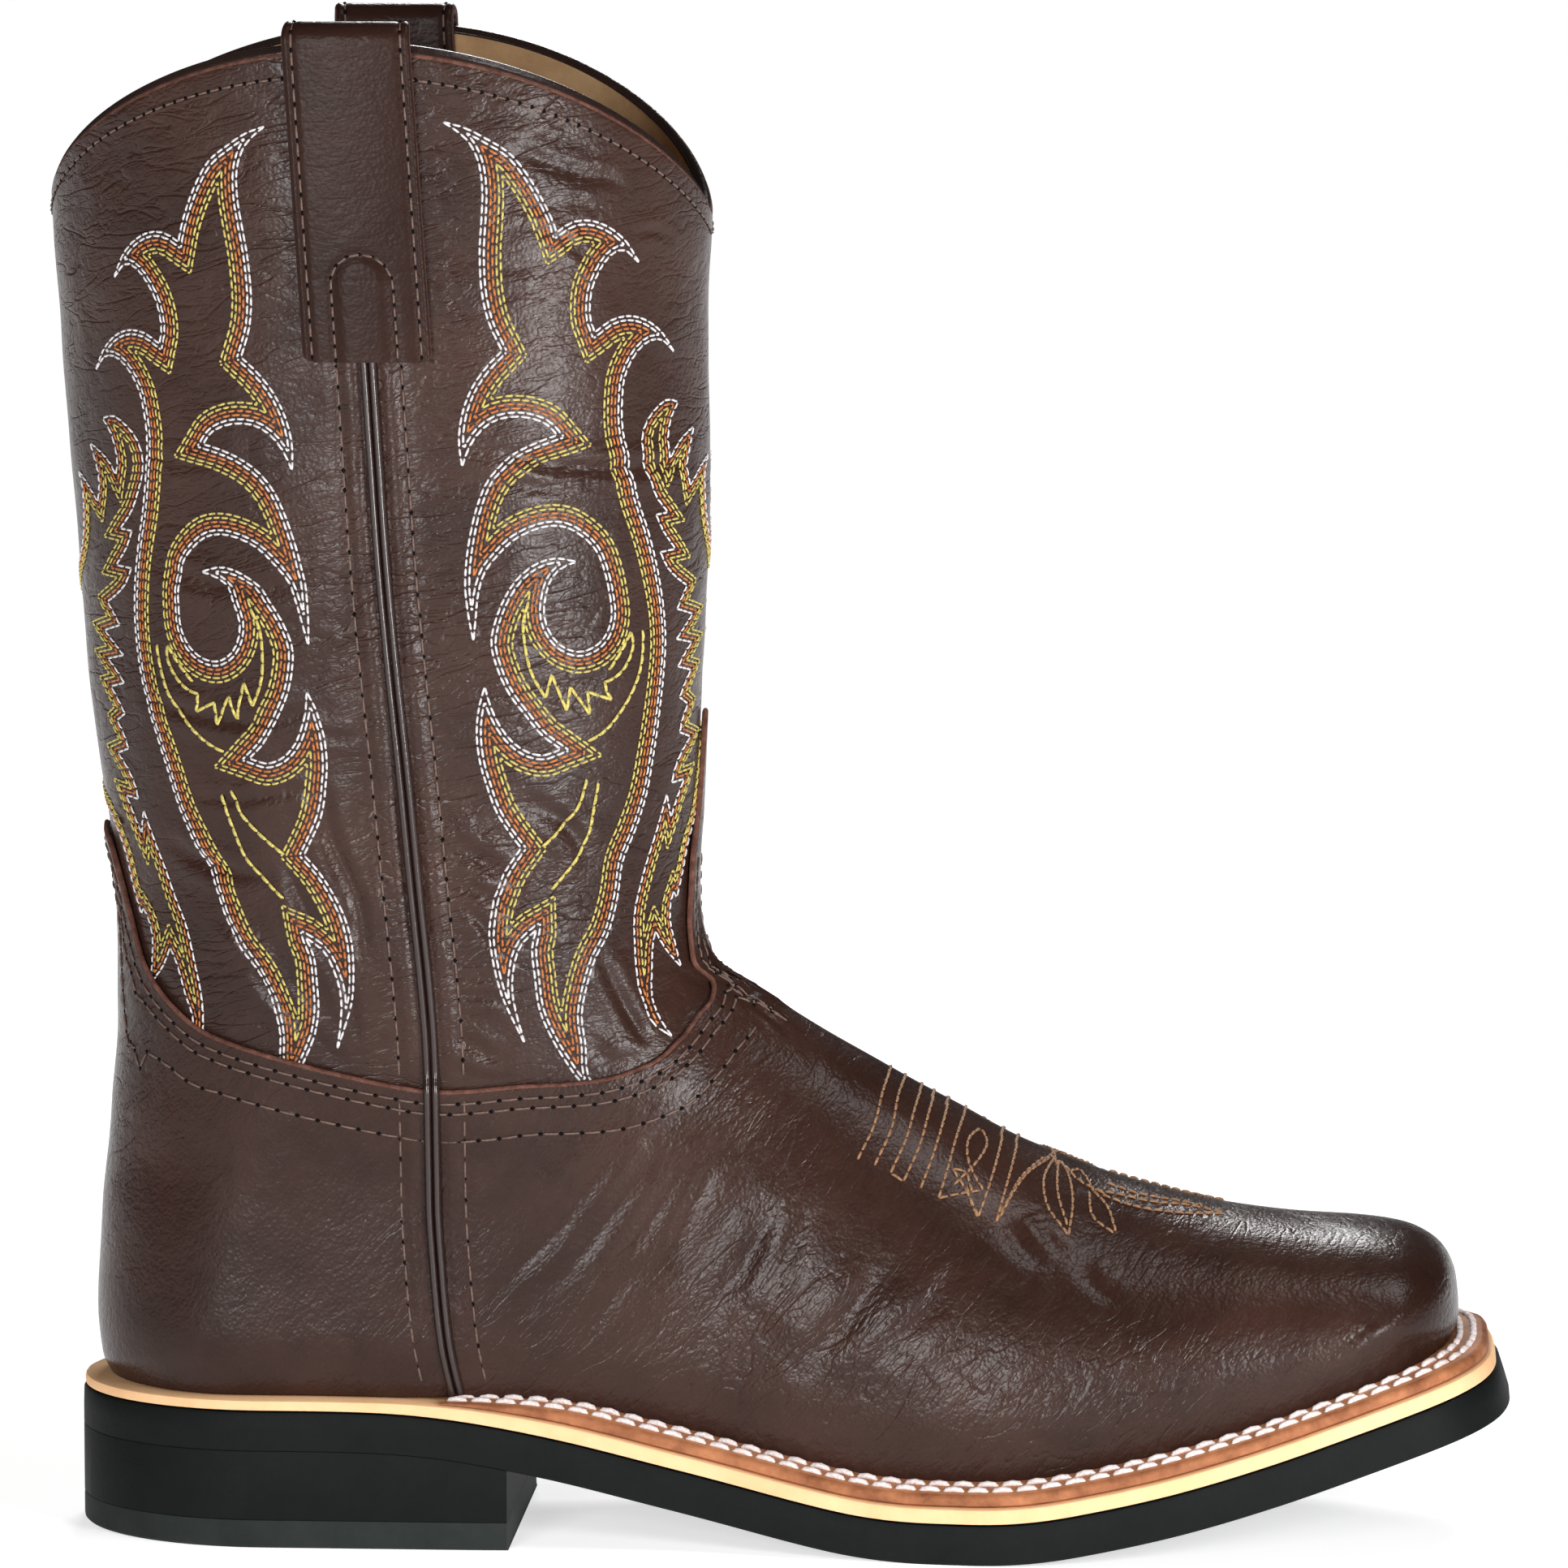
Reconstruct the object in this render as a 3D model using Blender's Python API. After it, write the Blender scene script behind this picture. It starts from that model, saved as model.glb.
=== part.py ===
"""Right western boot: hollow foot upper and shaft, stacked heel, welted sole with toe spring.

Lengths are in metres. The toe points along +X, the lateral side faces -Y and +Z is up.
The origin lies in the middle of the heel's bottom face, on the floor.
"""

import math

import bmesh
import bpy
import numpy as np

# Driving dimensions of the sole
SOLE_LENGTH = 0.308
BALL_WIDTH = 0.0975
HEEL_WIDTH = 0.0755
HEEL_LENGTH = 0.095
HEEL_HEIGHT = 0.0209
TOP_LIFT_THICKNESS = 0.0057
TOE_SPRING = 0.0298
OUTSOLE_THICKNESS = 0.0083
MIDSOLE_THICKNESS = 0.0034
HEEL_SEAT_THICKNESS = 0.0024
WELT_THICKNESS = 0.0034
WELT_WIDTH = 0.0085
HEEL_MARGIN = 0.005
INSOLE_THICKNESS = 0.003
HEEL_ROUNDING = 0.042
TOE_ROUNDING = 0.030

# Driving dimensions of the foot upper and the shaft
INSTEP_HEIGHT = 0.093
SHAFT_HEIGHT = 0.2845
SHAFT_LENGTH = 0.141
SHAFT_WIDTH = 0.100
SCALLOP_RISE = 0.035
UPPER_BULGE = 0.0025
BULGE_HEIGHT = 0.014
UPPER_PROUD = 0.0016
LINING_THICKNESS = 0.0009
SHAFT_WALL = 0.0022
RIDGE_OFFSET = 0.004

# Driving dimensions of the trim
PIPING_WIDTH = 0.0036
PIPING_THICKNESS = 0.0013
STRAP_WIDTH = 0.0265
STRAP_THICKNESS = 0.0024
STRAP_DROP = 0.064
STRAP_TAIL = 0.034

# Clearance between two pieces that touch
GAP = 0.0003

# Mesh fineness
COLUMNS = 44
FOOT_ROWS = 17
LAP_ROWS = 5
SHAFT_ROWS = 11
PIPING_ROWS = 16
HEEL_STATIONS = 12
FORE_STATIONS = 36

# Share of the sole's length at which the axis of the shaft stands
LEG_AXIS = 0.2143

# Height of the collar's front as a share of its back
FRONT_COLLAR_SHARE = 0.9895

# Power of the sine that shapes the scalloped collar, with its dips at front and back
SCALLOP_POWER = 1.25

# Share of the shaft's height that the lapped seam of foot and shaft takes
LAP_SHARE = 0.042

# Highest share that the shaft's lower edge reaches, behind the tongue of the foot upper
LAP_TOP = 0.455

# Share below the shaft's lower edge from which the upper's inner face stands clear of it
CLEAR_SHARE = 0.014


def table(columns, *rows):
    """Return the rows of a table as one array for each named column."""
    return dict(zip(columns.split(), np.array(rows, dtype=float).T))


# Bottom of the outsole: x in sole lengths, height in heel heights plus toe springs
BOTTOM = table(
    "x heel spring",
    (0.000, 1.000, 0.000),
    (0.195, 1.000, 0.000),
    (0.244, 0.972, 0.000),
    (0.276, 0.915, 0.000),
    (0.308, 0.828, 0.000),
    (0.350, 0.695, 0.000),
    (0.422, 0.430, 0.000),
    (0.477, 0.250, 0.000),
    (0.534, 0.075, 0.000),
    (0.570, 0.000, 0.000),
    (0.655, 0.000, 0.000),
    (0.701, 0.000, 0.070),
    (0.756, 0.000, 0.188),
    (0.812, 0.000, 0.342),
    (0.867, 0.000, 0.525),
    (0.922, 0.000, 0.735),
    (0.960, 0.000, 0.875),
    (1.000, 0.000, 1.000),
)

# Half-widths of the sole before its ends are rounded: shares of the heel's half-width and the ball's width
OUTLINE = table(
    "x heel_lateral heel_medial ball_lateral ball_medial",
    (0.00, 0.98, 0.98, 0.000, 0.000),
    (0.15, 0.98, 0.97, 0.000, 0.000),
    (0.28, 0.98, 0.95, 0.000, 0.000),
    (0.36, 0.00, 0.00, 0.371, 0.350),
    (0.42, 0.00, 0.00, 0.373, 0.345),
    (0.52, 0.00, 0.00, 0.426, 0.402),
    (0.62, 0.00, 0.00, 0.474, 0.480),
    (0.68, 0.00, 0.00, 0.487, 0.509),
    (0.76, 0.00, 0.00, 0.478, 0.508),
    (0.84, 0.00, 0.00, 0.449, 0.479),
    (0.91, 0.00, 0.00, 0.426, 0.450),
    (1.00, 0.00, 0.00, 0.410, 0.430),
)

# Back of the boot: z share of the height from sole to collar, x in sole lengths less shaft lengths
BACK = table(
    "z sole shaft",
    (0.000, 0.0250, 0.000),
    (0.016, 0.0190, 0.000),
    (0.060, 0.0165, 0.000),
    (0.143, 0.0185, 0.000),
    (0.230, 0.0260, 0.000),
    (0.313, 0.0325, 0.000),
    (0.396, 0.0310, 0.000),
    (0.479, LEG_AXIS, 0.4220),
    (0.563, LEG_AXIS, 0.4410),
    (0.729, LEG_AXIS, 0.4695),
    (0.895, LEG_AXIS, 0.4857),
    (1.000, LEG_AXIS, 0.5000),
    (1.180, LEG_AXIS, 0.5060),
)

# Front of the foot from the toe to the instep: x in sole lengths, rise over the sole in instep heights
RIDGE = table(
    "x rise",
    (0.951, 0.000),
    (0.9585, 0.055),
    (0.9565, 0.125),
    (0.9480, 0.190),
    (0.9250, 0.257),
    (0.8900, 0.316),
    (0.8380, 0.392),
    (0.7820, 0.477),
    (0.7240, 0.572),
    (0.6660, 0.683),
    (0.6080, 0.796),
    (0.5230, 0.921),
    (0.4670, 1.000),
)

# Front of the shaft: z share of the height from instep to collar, x in shaft lengths ahead of the axis
SHIN = table(
    "z shaft",
    (0.041, 0.491),
    (0.109, 0.472),
    (0.175, 0.470),
    (0.235, 0.475),
    (0.361, 0.482),
    (0.487, 0.490),
    (0.613, 0.494),
    (0.865, 0.494),
    (1.000, 0.500),
    (1.260, 0.505),
)

# Rounding of the front outline: share of its length, radius in instep heights and shaft lengths, power
FRONT_ROUNDING = table(
    "along instep shaft power",
    (0.00, 0.25, 0.000, 2.70),
    (0.06, 0.27, 0.000, 2.70),
    (0.12, 0.33, 0.000, 2.55),
    (0.22, 0.50, 0.000, 2.30),
    (0.34, 0.68, 0.000, 2.10),
    (0.46, 0.78, 0.000, 2.00),
    (0.56, 0.00, 0.460, 2.00),
    (0.70, 0.00, 0.470, 2.00),
    (1.00, 0.00, 0.495, 2.00),
)

# Shaft sections: z share of the height from sole to collar, half-width in shaft widths, back rounding in shaft lengths
LEG = table(
    "z width rounding",
    (0.00, 0.345, 0.21),
    (0.11, 0.350, 0.24),
    (0.27, 0.378, 0.34),
    (0.40, 0.408, 0.41),
    (0.59, 0.447, 0.47),
    (0.79, 0.477, 0.49),
    (1.00, 0.496, 0.50),
    (1.15, 0.506, 0.50),
)

# Top edge of the foot upper: share of the half turn from back to front, share of the way from sole to collar
TOP_LINE = table(
    "turn share",
    (0.00, 0.470),
    (0.06, 0.460),
    (0.10, 0.405),
    (0.13, 0.364),
    (0.17, 0.338),
    (0.22, 0.319),
    (0.30, 0.310),
    (0.39, 0.303),
    (0.48, 0.326),
    (0.54, 0.343),
    (0.60, 0.372),
    (0.66, 0.412),
    (0.73, 0.455),
    (0.80, 0.487),
    (0.88, 0.525),
    (0.94, 0.580),
    (1.00, 0.700),
)

# Side seam: z share of the height from sole to collar, x in sole lengths
SIDE_SEAM = table(
    "z x",
    (0.000, 0.2800),
    (0.068, 0.2734),
    (0.167, 0.2627),
    (0.270, 0.2604),
    (0.369, 0.2575),
    (0.507, 0.2484),
    (0.673, 0.2396),
    (0.776, 0.2292),
    (0.879, 0.2214),
    (1.150, 0.2075),
)


def follow(at, stations, values):
    """Read a smooth curve through a table's column, with no overshoot between its rows."""
    run = np.diff(stations)
    slope = np.diff(values) / run
    before, after = slope[:-1], slope[1:]
    turning = before * after <= 0
    mean = 2 * before * after / np.where(turning, 1, before + after)
    tangent = np.concatenate([slope[:1], np.where(turning, 0, mean), slope[-1:]])
    at = np.asarray(at, dtype=float)
    row = np.clip(np.searchsorted(stations, at) - 1, 0, len(run) - 1)
    share = (at - stations[row]) / run[row]
    inside = np.clip(share, 0, 1)
    square, cube = inside**2, inside**3
    value = (
        (2 * cube - 3 * square + 1) * values[row]
        + (cube - 2 * square + inside) * run[row] * tangent[row]
        + (3 * square - 2 * cube) * values[row + 1]
        + (cube - square) * run[row] * tangent[row + 1]
    )
    beyond = (share - inside) * run[row]
    return value + beyond * np.where(share > 1, tangent[row + 1], tangent[row])


def ramp(value, low, high):
    """Rise smoothly from 0 at low to 1 at high."""
    share = np.clip((np.asarray(value, dtype=float) - low) / (high - low), 0, 1)
    return share * share * (3 - 2 * share)


def rounded(distance, radius, power):
    """Return 0 on an edge and 1 from a rounding radius on, along a superellipse."""
    share = np.clip(distance / radius, 0, 1)
    return (1 - (1 - share) ** power) ** (1 / power)


def unit(vectors):
    """Scale vectors to length 1."""
    return vectors / np.linalg.norm(vectors, axis=-1, keepdims=True)


def bottom_height(x):
    """Return the height of the outsole's bottom at x."""
    share = np.asarray(x) / SOLE_LENGTH
    heel = follow(share, BOTTOM["x"], BOTTOM["heel"]) * HEEL_HEIGHT
    spring = follow(share, BOTTOM["x"], BOTTOM["spring"]) * TOE_SPRING
    return heel + spring


def layer_point(x, height):
    """Return x and z of a point at a height over the outsole's bottom, square to that bottom."""
    step = 0.001
    slope = (bottom_height(x + step) - bottom_height(x - step)) / (2 * step)
    tilt = np.arctan(slope) * ramp(x, HEEL_LENGTH * 0.8, HEEL_LENGTH * 1.05)
    return x - height * np.sin(tilt), bottom_height(x) + height * np.cos(tilt)


def welt_share(x):
    """Return how much of the welt's thickness there is at x: it tapers out beside the heel."""
    return ramp(x, HEEL_LENGTH * 0.72, HEEL_LENGTH * 1.15)


def midsole_thickness(x):
    """Return the midsole's thickness, which is less under the heel seat."""
    share = ramp(x, HEEL_LENGTH * 0.6, HEEL_LENGTH * 1.15)
    return HEEL_SEAT_THICKNESS + share * (MIDSOLE_THICKNESS - HEEL_SEAT_THICKNESS)


def midsole_top(x):
    """Return the height of the midsole's top over the outsole's bottom."""
    return OUTSOLE_THICKNESS + GAP + midsole_thickness(x)


def welt_top(x):
    """Return the height of the welt's top over the outsole's bottom."""
    return midsole_top(x) + welt_share(x) * (GAP + WELT_THICKNESS)


def feather_height(x):
    """Return the height at x of the line on which the upper stands."""
    along = np.linspace(0, SOLE_LENGTH, 200)
    at, height = layer_point(along, welt_top(along) + 2 * GAP)
    return follow(x, at, height)


def outline_column(side):
    """Return the outline's half-widths in metres for one side, a value for each row."""
    return OUTLINE["heel_" + side] * HEEL_WIDTH / 2 + OUTLINE["ball_" + side] * BALL_WIDTH


def body_half_width(x, side):
    """Return the sole's half-width on one side at x, without the rounding of its ends."""
    return follow(np.clip(x / SOLE_LENGTH, 0, 1), OUTLINE["x"], outline_column(side))


def sole_outline(stations, inset):
    """Return x, lateral y and medial y of the sole's outline, drawn in by an inset."""
    x = inset + stations * (SOLE_LENGTH - 2 * inset)
    ends = rounded(x - inset, HEEL_ROUNDING, 2.0) * rounded(SOLE_LENGTH - inset - x, TOE_ROUNDING, 3.0)
    lateral = (body_half_width(x, "lateral") - inset) * ends
    medial = (body_half_width(x, "medial") - inset) * ends
    return x, -lateral, medial


def curve_through(points, count=260):
    """Return evenly spaced points on a smooth curve through a few side-view points."""
    chord = np.concatenate([[0], np.cumsum(np.linalg.norm(np.diff(points, axis=0), axis=1))])
    along = np.linspace(0, chord[-1], count)
    return np.stack([follow(along, chord, points[:, axis]) for axis in (0, 1)], axis=1)


def back_point(share):
    """Return x and z of the boot's back at a share of the height from sole to collar."""
    x = follow(share, BACK["z"], BACK["sole"] * SOLE_LENGTH - BACK["shaft"] * SHAFT_LENGTH)
    return x, HEEL_TOP + share * (SHAFT_HEIGHT - HEEL_TOP)


def front_rows():
    """Return the side-view points of the boot's front, from the toe to above the collar."""
    foot_x = RIDGE["x"] * SOLE_LENGTH
    foot_z = feather_height(foot_x) + RIDGE["rise"] * INSTEP_HEIGHT
    shin_x = LEG_AXIS * SOLE_LENGTH + SHIN["shaft"] * SHAFT_LENGTH
    shin_z = foot_z[-1] + SHIN["z"] * (SHAFT_HEIGHT * FRONT_COLLAR_SHARE - foot_z[-1])
    return np.stack([np.append(foot_x, shin_x), np.append(foot_z, shin_z)], axis=1)


# Side-view lines that the whole upper is built from
HEEL_TOP = float(feather_height(np.array(BACK["sole"][0] * SOLE_LENGTH)))
BACK_LINE = np.stack(back_point(np.linspace(0, BACK["z"][-1], 260)), axis=1)
FRONT_REACH = curve_through(front_rows())
FRONT_LINE = FRONT_REACH[: 1 + np.searchsorted(FRONT_REACH[:, 1], SHAFT_HEIGHT * FRONT_COLLAR_SHARE)]
FRONT_SHARE = len(FRONT_LINE) / len(FRONT_REACH)


def distance_to(x, z, line):
    """Return the distance from side-view points to a line, and the share along it of the nearest point."""
    spots = np.stack([x, z], axis=-1)[..., None, :]
    start, run = line[:-1], np.diff(line, axis=0)
    share = np.clip(((spots - start) * run).sum(-1) / (run**2).sum(-1), 0, 1)
    away = np.linalg.norm(spots - start - share[..., None] * run, axis=-1)
    nearest = away.argmin(-1)[..., None]
    along = (nearest + np.take_along_axis(share, nearest, -1))[..., 0] / len(run)
    return np.take_along_axis(away, nearest, -1)[..., 0], along


def skin_sides(x, z):
    """Return y of the skin's lateral and medial sides at side-view points.

    The skin is the outer face of the shaft, and in the foot it lies between lining and upper.
    """
    level = (z - HEEL_TOP) / (SHAFT_HEIGHT - HEEL_TOP)
    back_away, _ = distance_to(x, z, BACK_LINE)
    front_away, along = distance_to(x, z, FRONT_REACH)
    along = np.clip(along / FRONT_SHARE, 0, 1)
    back_radius = follow(level, LEG["z"], LEG["rounding"]) * SHAFT_LENGTH
    front_radius = (
        follow(along, FRONT_ROUNDING["along"], FRONT_ROUNDING["instep"]) * INSTEP_HEIGHT
        + follow(along, FRONT_ROUNDING["along"], FRONT_ROUNDING["shaft"]) * SHAFT_LENGTH
    )
    power = follow(along, FRONT_ROUNDING["along"], FRONT_ROUNDING["power"])
    fullness = rounded(back_away, back_radius, 2.0) * rounded(front_away, front_radius, power)
    in_shaft = ramp(level, 0.09, 0.39)
    margin = HEEL_MARGIN + ramp(x, HEEL_LENGTH * 0.7, HEEL_LENGTH * 1.6) * (WELT_WIDTH - HEEL_MARGIN)
    tuck = UPPER_BULGE * (1 - np.clip((z - feather_height(x)) / BULGE_HEIGHT, 0, 1)) ** 2
    shaft = follow(level, LEG["z"], LEG["width"]) * SHAFT_WIDTH
    on_foot = ramp(x, SOLE_LENGTH * 0.35, SOLE_LENGTH * 0.5) * (1 - ramp(x, SOLE_LENGTH * 0.7, SOLE_LENGTH * 0.95))
    centre = RIDGE_OFFSET * (1 - in_shaft) * on_foot * (1 - fullness)
    sides = []
    for side, sign in (("lateral", -1), ("medial", 1)):
        foot = body_half_width(x, side) - margin - UPPER_PROUD + UPPER_BULGE
        half = foot + in_shaft * (shaft - foot) - tuck
        sides.append(centre + sign * half * fullness)
    return sides


def side_view(turn, share):
    """Return x and z in the side view: turn runs from back to front, share from sole to collar."""
    across = (1 - np.cos(np.pi * turn)) / 2
    back_x, back_z = back_point(share)
    place = share * (len(FRONT_LINE) - 1)
    front_x = np.interp(place, np.arange(len(FRONT_LINE)), FRONT_LINE[:, 0])
    front_z = np.interp(place, np.arange(len(FRONT_LINE)), FRONT_LINE[:, 1])
    heel, toe = BACK_LINE[0], FRONT_LINE[0]
    low = heel + across[..., None] * (toe - heel)
    sag = feather_height(low[..., 0]) - low[..., 1]
    scallop = SCALLOP_RISE * np.sin(np.pi * turn) ** SCALLOP_POWER
    x = back_x + (front_x - back_x) * across
    z = back_z + (front_z - back_z) * across
    return x, z + sag * np.clip(1 - share / 0.4, 0, 1) ** 2 + scallop * ramp(share, 0.55, 1.25) / ramp(1, 0.55, 1.25)


def skin(turn, share):
    """Return points of the skin: turn 0 to 1 is the lateral side from back to front, 1 to 2 the medial one."""
    turn = np.mod(turn, 2)
    folded = 1 - np.abs(1 - turn)
    x, z = side_view(folded, share)
    lateral, medial = skin_sides(x, z)
    return np.stack([x, np.where(turn <= 1, lateral, medial), z], axis=-1)


def off_skin(turn, share, out):
    """Return points at a distance outward from the skin; those on its lower edge stay on the sole."""
    step = 0.004
    low, high = np.clip(share - step, 0, 1), np.clip(share + step, 0, 1)
    around = skin(turn + step, share) - skin(turn - step, share)
    normal = np.cross(around, skin(turn, high) - skin(turn, low))
    on_sole = share <= 0
    normal[..., 2] = np.where(on_sole, 0, normal[..., 2])
    points = skin(turn, share) + unit(normal) * np.asarray(out)[..., None]
    points[..., 2] = np.where(on_sole, feather_height(points[..., 0]), points[..., 2])
    return points


def on_side(x, z, side, out):
    """Return points off the lateral (0) or medial (1) skin at side-view places."""
    step = 0.0004
    sign = (-1, 1)[side]
    y = skin_sides(x, z)[side]
    slope_x = (skin_sides(x + step, z)[side] - skin_sides(x - step, z)[side]) / (2 * step)
    slope_z = (skin_sides(x, z + step)[side] - skin_sides(x, z - step)[side]) / (2 * step)
    normal = unit(np.stack([-slope_x, np.ones_like(y), -slope_z], axis=-1)) * sign
    return np.stack([x, y, z], axis=-1) + normal * np.asarray(out)[..., None]


def top_line(turn):
    """Return the share from sole to collar at which the foot upper ends."""
    return follow(1 - np.abs(1 - np.mod(turn, 2)), TOP_LINE["turn"], TOP_LINE["share"])


def seam_x(z):
    """Return x of the side seam at a height."""
    return follow((z - HEEL_TOP) / (SHAFT_HEIGHT - HEEL_TOP), SIDE_SEAM["z"], SIDE_SEAM["x"]) * SOLE_LENGTH


def material(name, colour, roughness):
    """Return a new Principled material."""
    finish = bpy.data.materials.new(name)
    finish.use_nodes = True
    shader = finish.node_tree.nodes["Principled BSDF"]
    shader.inputs["Base Color"].default_value = (*colour, 1)
    shader.inputs["Roughness"].default_value = roughness
    shader.inputs["Metallic"].default_value = 0
    return finish


def finish_mesh(name, bm, colour, roughness):
    """Turn a bmesh into a named object of the boot, with the origin moved under the heel."""
    bmesh.ops.translate(bm, verts=bm.verts, vec=(-HEEL_LENGTH / 2, 0, 0))
    bmesh.ops.recalc_face_normals(bm, faces=bm.faces)
    mesh = bpy.data.meshes.new(name)
    bm.to_mesh(mesh)
    bm.free()
    mesh.shade_smooth()
    mesh.set_sharp_from_angle(angle=math.radians(40))
    mesh.materials.append(material(name, colour, roughness))
    piece = bpy.data.objects.new(name, mesh)
    boot.objects.link(piece)
    return piece


def loft(name, outer, inner, closed, colour, roughness):
    """Make a solid between two grids of points, as rows and columns; closed joins last column to first."""
    bm = bmesh.new()
    rows, columns = outer.shape[:2]
    faces = [[[bm.verts.new(point) for point in row] for row in grid] for grid in (outer, inner)]
    spans = columns if closed else columns - 1
    for row in range(rows - 1):
        for column in range(spans):
            after = (column + 1) % columns
            climbs = outer[row, after, 2] > outer[row, column, 2] + GAP
            for face, order in zip(faces, (1, -1)):
                corners = [face[row][column], face[row][after], face[row + 1][after], face[row + 1][column]]
                halves = ((0, 1, 3), (1, 2, 3)) if climbs else ((0, 1, 2), (0, 2, 3))
                for half in halves:
                    bm.faces.new([corners[corner] for corner in half][::order])
    out, into = faces
    for column in range(spans):
        after = (column + 1) % columns
        bm.faces.new([into[0][column], into[0][after], out[0][after], out[0][column]])
        bm.faces.new([out[-1][column], out[-1][after], into[-1][after], into[-1][column]])
    if not closed:
        for row in range(rows - 1):
            bm.faces.new([out[row][0], out[row + 1][0], into[row + 1][0], into[row][0]])
            bm.faces.new([into[row][-1], into[row + 1][-1], out[row + 1][-1], out[row][-1]])
    return finish_mesh(name, bm, colour, roughness)


def sole_layer(name, stations, inset, low, high, colour):
    """Make a full layer of the sole between two heights over the outsole's bottom."""
    x, lateral, medial = sole_outline(stations, inset)
    grids = []
    for height in (low(x), high(x)):
        at, z = layer_point(x, height)
        grids.append(np.stack([np.stack([at, y, z], axis=-1) for y in (lateral, medial)], axis=1))
    return loft(name, grids[0], grids[1], False, colour, 0.6)


def heel_layer(name, stations, low, high, colour):
    """Make a layer of the heel with level sides between two heights over the floor."""
    x, lateral, medial = sole_outline(stations, 0)
    grids = [
        np.stack([np.stack([x, y, height + 0 * x], axis=-1) for y in (lateral, medial)], axis=1)
        for height in (low, high(x))
    ]
    return loft(name, grids[0], grids[1], False, colour, 0.7)


def sole_stations():
    """Return the stations of heel and forefoot as shares of the sole's length, closer at both ends."""
    heel_share = HEEL_LENGTH / SOLE_LENGTH
    heel = heel_share * (1 - np.cos(np.pi / 2 * np.linspace(0.07, 1, HEEL_STATIONS)))
    fore = heel_share + (1 - heel_share) * np.sin(np.pi / 2 * np.linspace(0, 0.97, FORE_STATIONS))
    return heel, np.append(heel, fore[1:])


def build_sole():
    """Make the top lift, heel block, outsole, midsole and welt."""
    heel, whole = sole_stations()
    heel_layer("top_lift", heel, 0, lambda x: TOP_LIFT_THICKNESS + 0 * x, (0.03, 0.035, 0.034))
    heel_layer("heel_block", heel, TOP_LIFT_THICKNESS + GAP, lambda x: bottom_height(x) - GAP, (0.012, 0.014, 0.014))
    sole_layer("outsole", whole, 0, lambda x: 0 * x, lambda x: OUTSOLE_THICKNESS + 0 * x, (0.012, 0.014, 0.014))
    sole_layer("midsole", whole, 0.0005, lambda x: OUTSOLE_THICKNESS + GAP + 0 * x, midsole_top, (0.80, 0.55, 0.30))
    build_welt(whole)


def build_welt(stations):
    """Make the welt: a strip round the forefoot whose inner edge lies under the upper's wall."""
    start = HEEL_LENGTH * 0.84 / SOLE_LENGTH
    ahead = np.append(start, stations[stations > start * 1.02])
    edges = []
    for inset in (0.001, WELT_WIDTH + UPPER_PROUD + LINING_THICKNESS + 0.003):
        x, lateral, medial = sole_outline(ahead, inset)
        edges.append((np.append(x, x[::-1]), np.append(lateral, medial[::-1])))
    grids = []
    for height in (lambda x: midsole_top(x) + GAP, welt_top):
        columns = []
        for x, y in edges:
            at, z = layer_point(x, height(x))
            columns.append(np.stack([at, y, z], axis=-1))
        grids.append(np.stack(columns, axis=1))
    loft("welt", grids[0], grids[1], False, (0.45, 0.22, 0.10), 0.55)


def build_upper_and_shaft():
    """Make the hollow foot upper, and the shaft whose lower edge is tucked inside it."""
    turn = np.arange(COLUMNS) * 2 / COLUMNS
    top = top_line(turn)
    low = np.minimum(top - LAP_SHARE, LAP_TOP)
    foot = [(low - CLEAR_SHARE) * (row / FOOT_ROWS) ** 1.35 for row in range(FOOT_ROWS + 1)]
    lap = [low + (top - low) * row / LAP_ROWS for row in range(LAP_ROWS + 1)]
    leg = [top + (1 - top) * row / SHAFT_ROWS for row in range(1, SHAFT_ROWS + 1)]
    shares = np.array(foot + lap)
    turns = np.broadcast_to(turn, shares.shape)
    inner_out = np.full(shares.shape, -LINING_THICKNESS)
    inner_out[FOOT_ROWS:] = GAP
    outer = off_skin(turns, shares, np.full(shares.shape, UPPER_PROUD))
    inner = off_skin(turns, shares, inner_out)
    loft("upper", outer, inner, True, (0.055, 0.032, 0.024), 0.45)
    shares = np.array(lap + leg)
    turns = np.broadcast_to(turn, shares.shape)
    outer = off_skin(turns, shares, np.zeros(shares.shape))
    inner = off_skin(turns, shares, np.full(shares.shape, -SHAFT_WALL))
    loft("shaft", outer, inner, True, (0.055, 0.032, 0.024), 0.45)


def build_insole():
    """Make the insole, inside the upper's lower edge."""
    turn = np.arange(1, COLUMNS // 2) * 2 / COLUMNS
    out = np.full(turn.shape, -LINING_THICKNESS - 2 * GAP)
    sides = [off_skin(where, 0 * turn, out) for where in (turn, 2 - turn)]
    low = np.stack(sides, axis=1)
    high = low + np.array([0, 0, INSOLE_THICKNESS])
    loft("insole", low, high, False, (0.55, 0.38, 0.22), 0.8)


def build_binding():
    """Make the rolled binding that covers the collar's edge."""
    radius = SHAFT_WALL / 2
    turn = np.arange(COLUMNS) * 2 / COLUMNS
    ring = off_skin(turn, np.ones(COLUMNS), np.full(COLUMNS, -radius))
    path = bpy.data.curves.new("collar_binding", "CURVE")
    path.dimensions = "3D"
    path.bevel_depth = radius
    path.bevel_resolution = 2
    spline = path.splines.new("POLY")
    spline.points.add(COLUMNS - 1)
    for point, (x, y, z) in zip(spline.points, ring):
        point.co = (x - HEEL_LENGTH / 2, y, z + GAP + radius, 1)
    spline.use_cyclic_u = True
    path.materials.append(material("collar_binding", (0.035, 0.018, 0.015), 0.4))
    boot.objects.link(bpy.data.objects.new("collar_binding", path))


def collar_peak():
    """Return the collar's height at the side seam."""
    turn = np.linspace(0.3, 0.7, 60)
    x, z = side_view(turn, np.ones(turn.shape))
    return float(np.interp(seam_x(z.max()), x, z))


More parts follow.
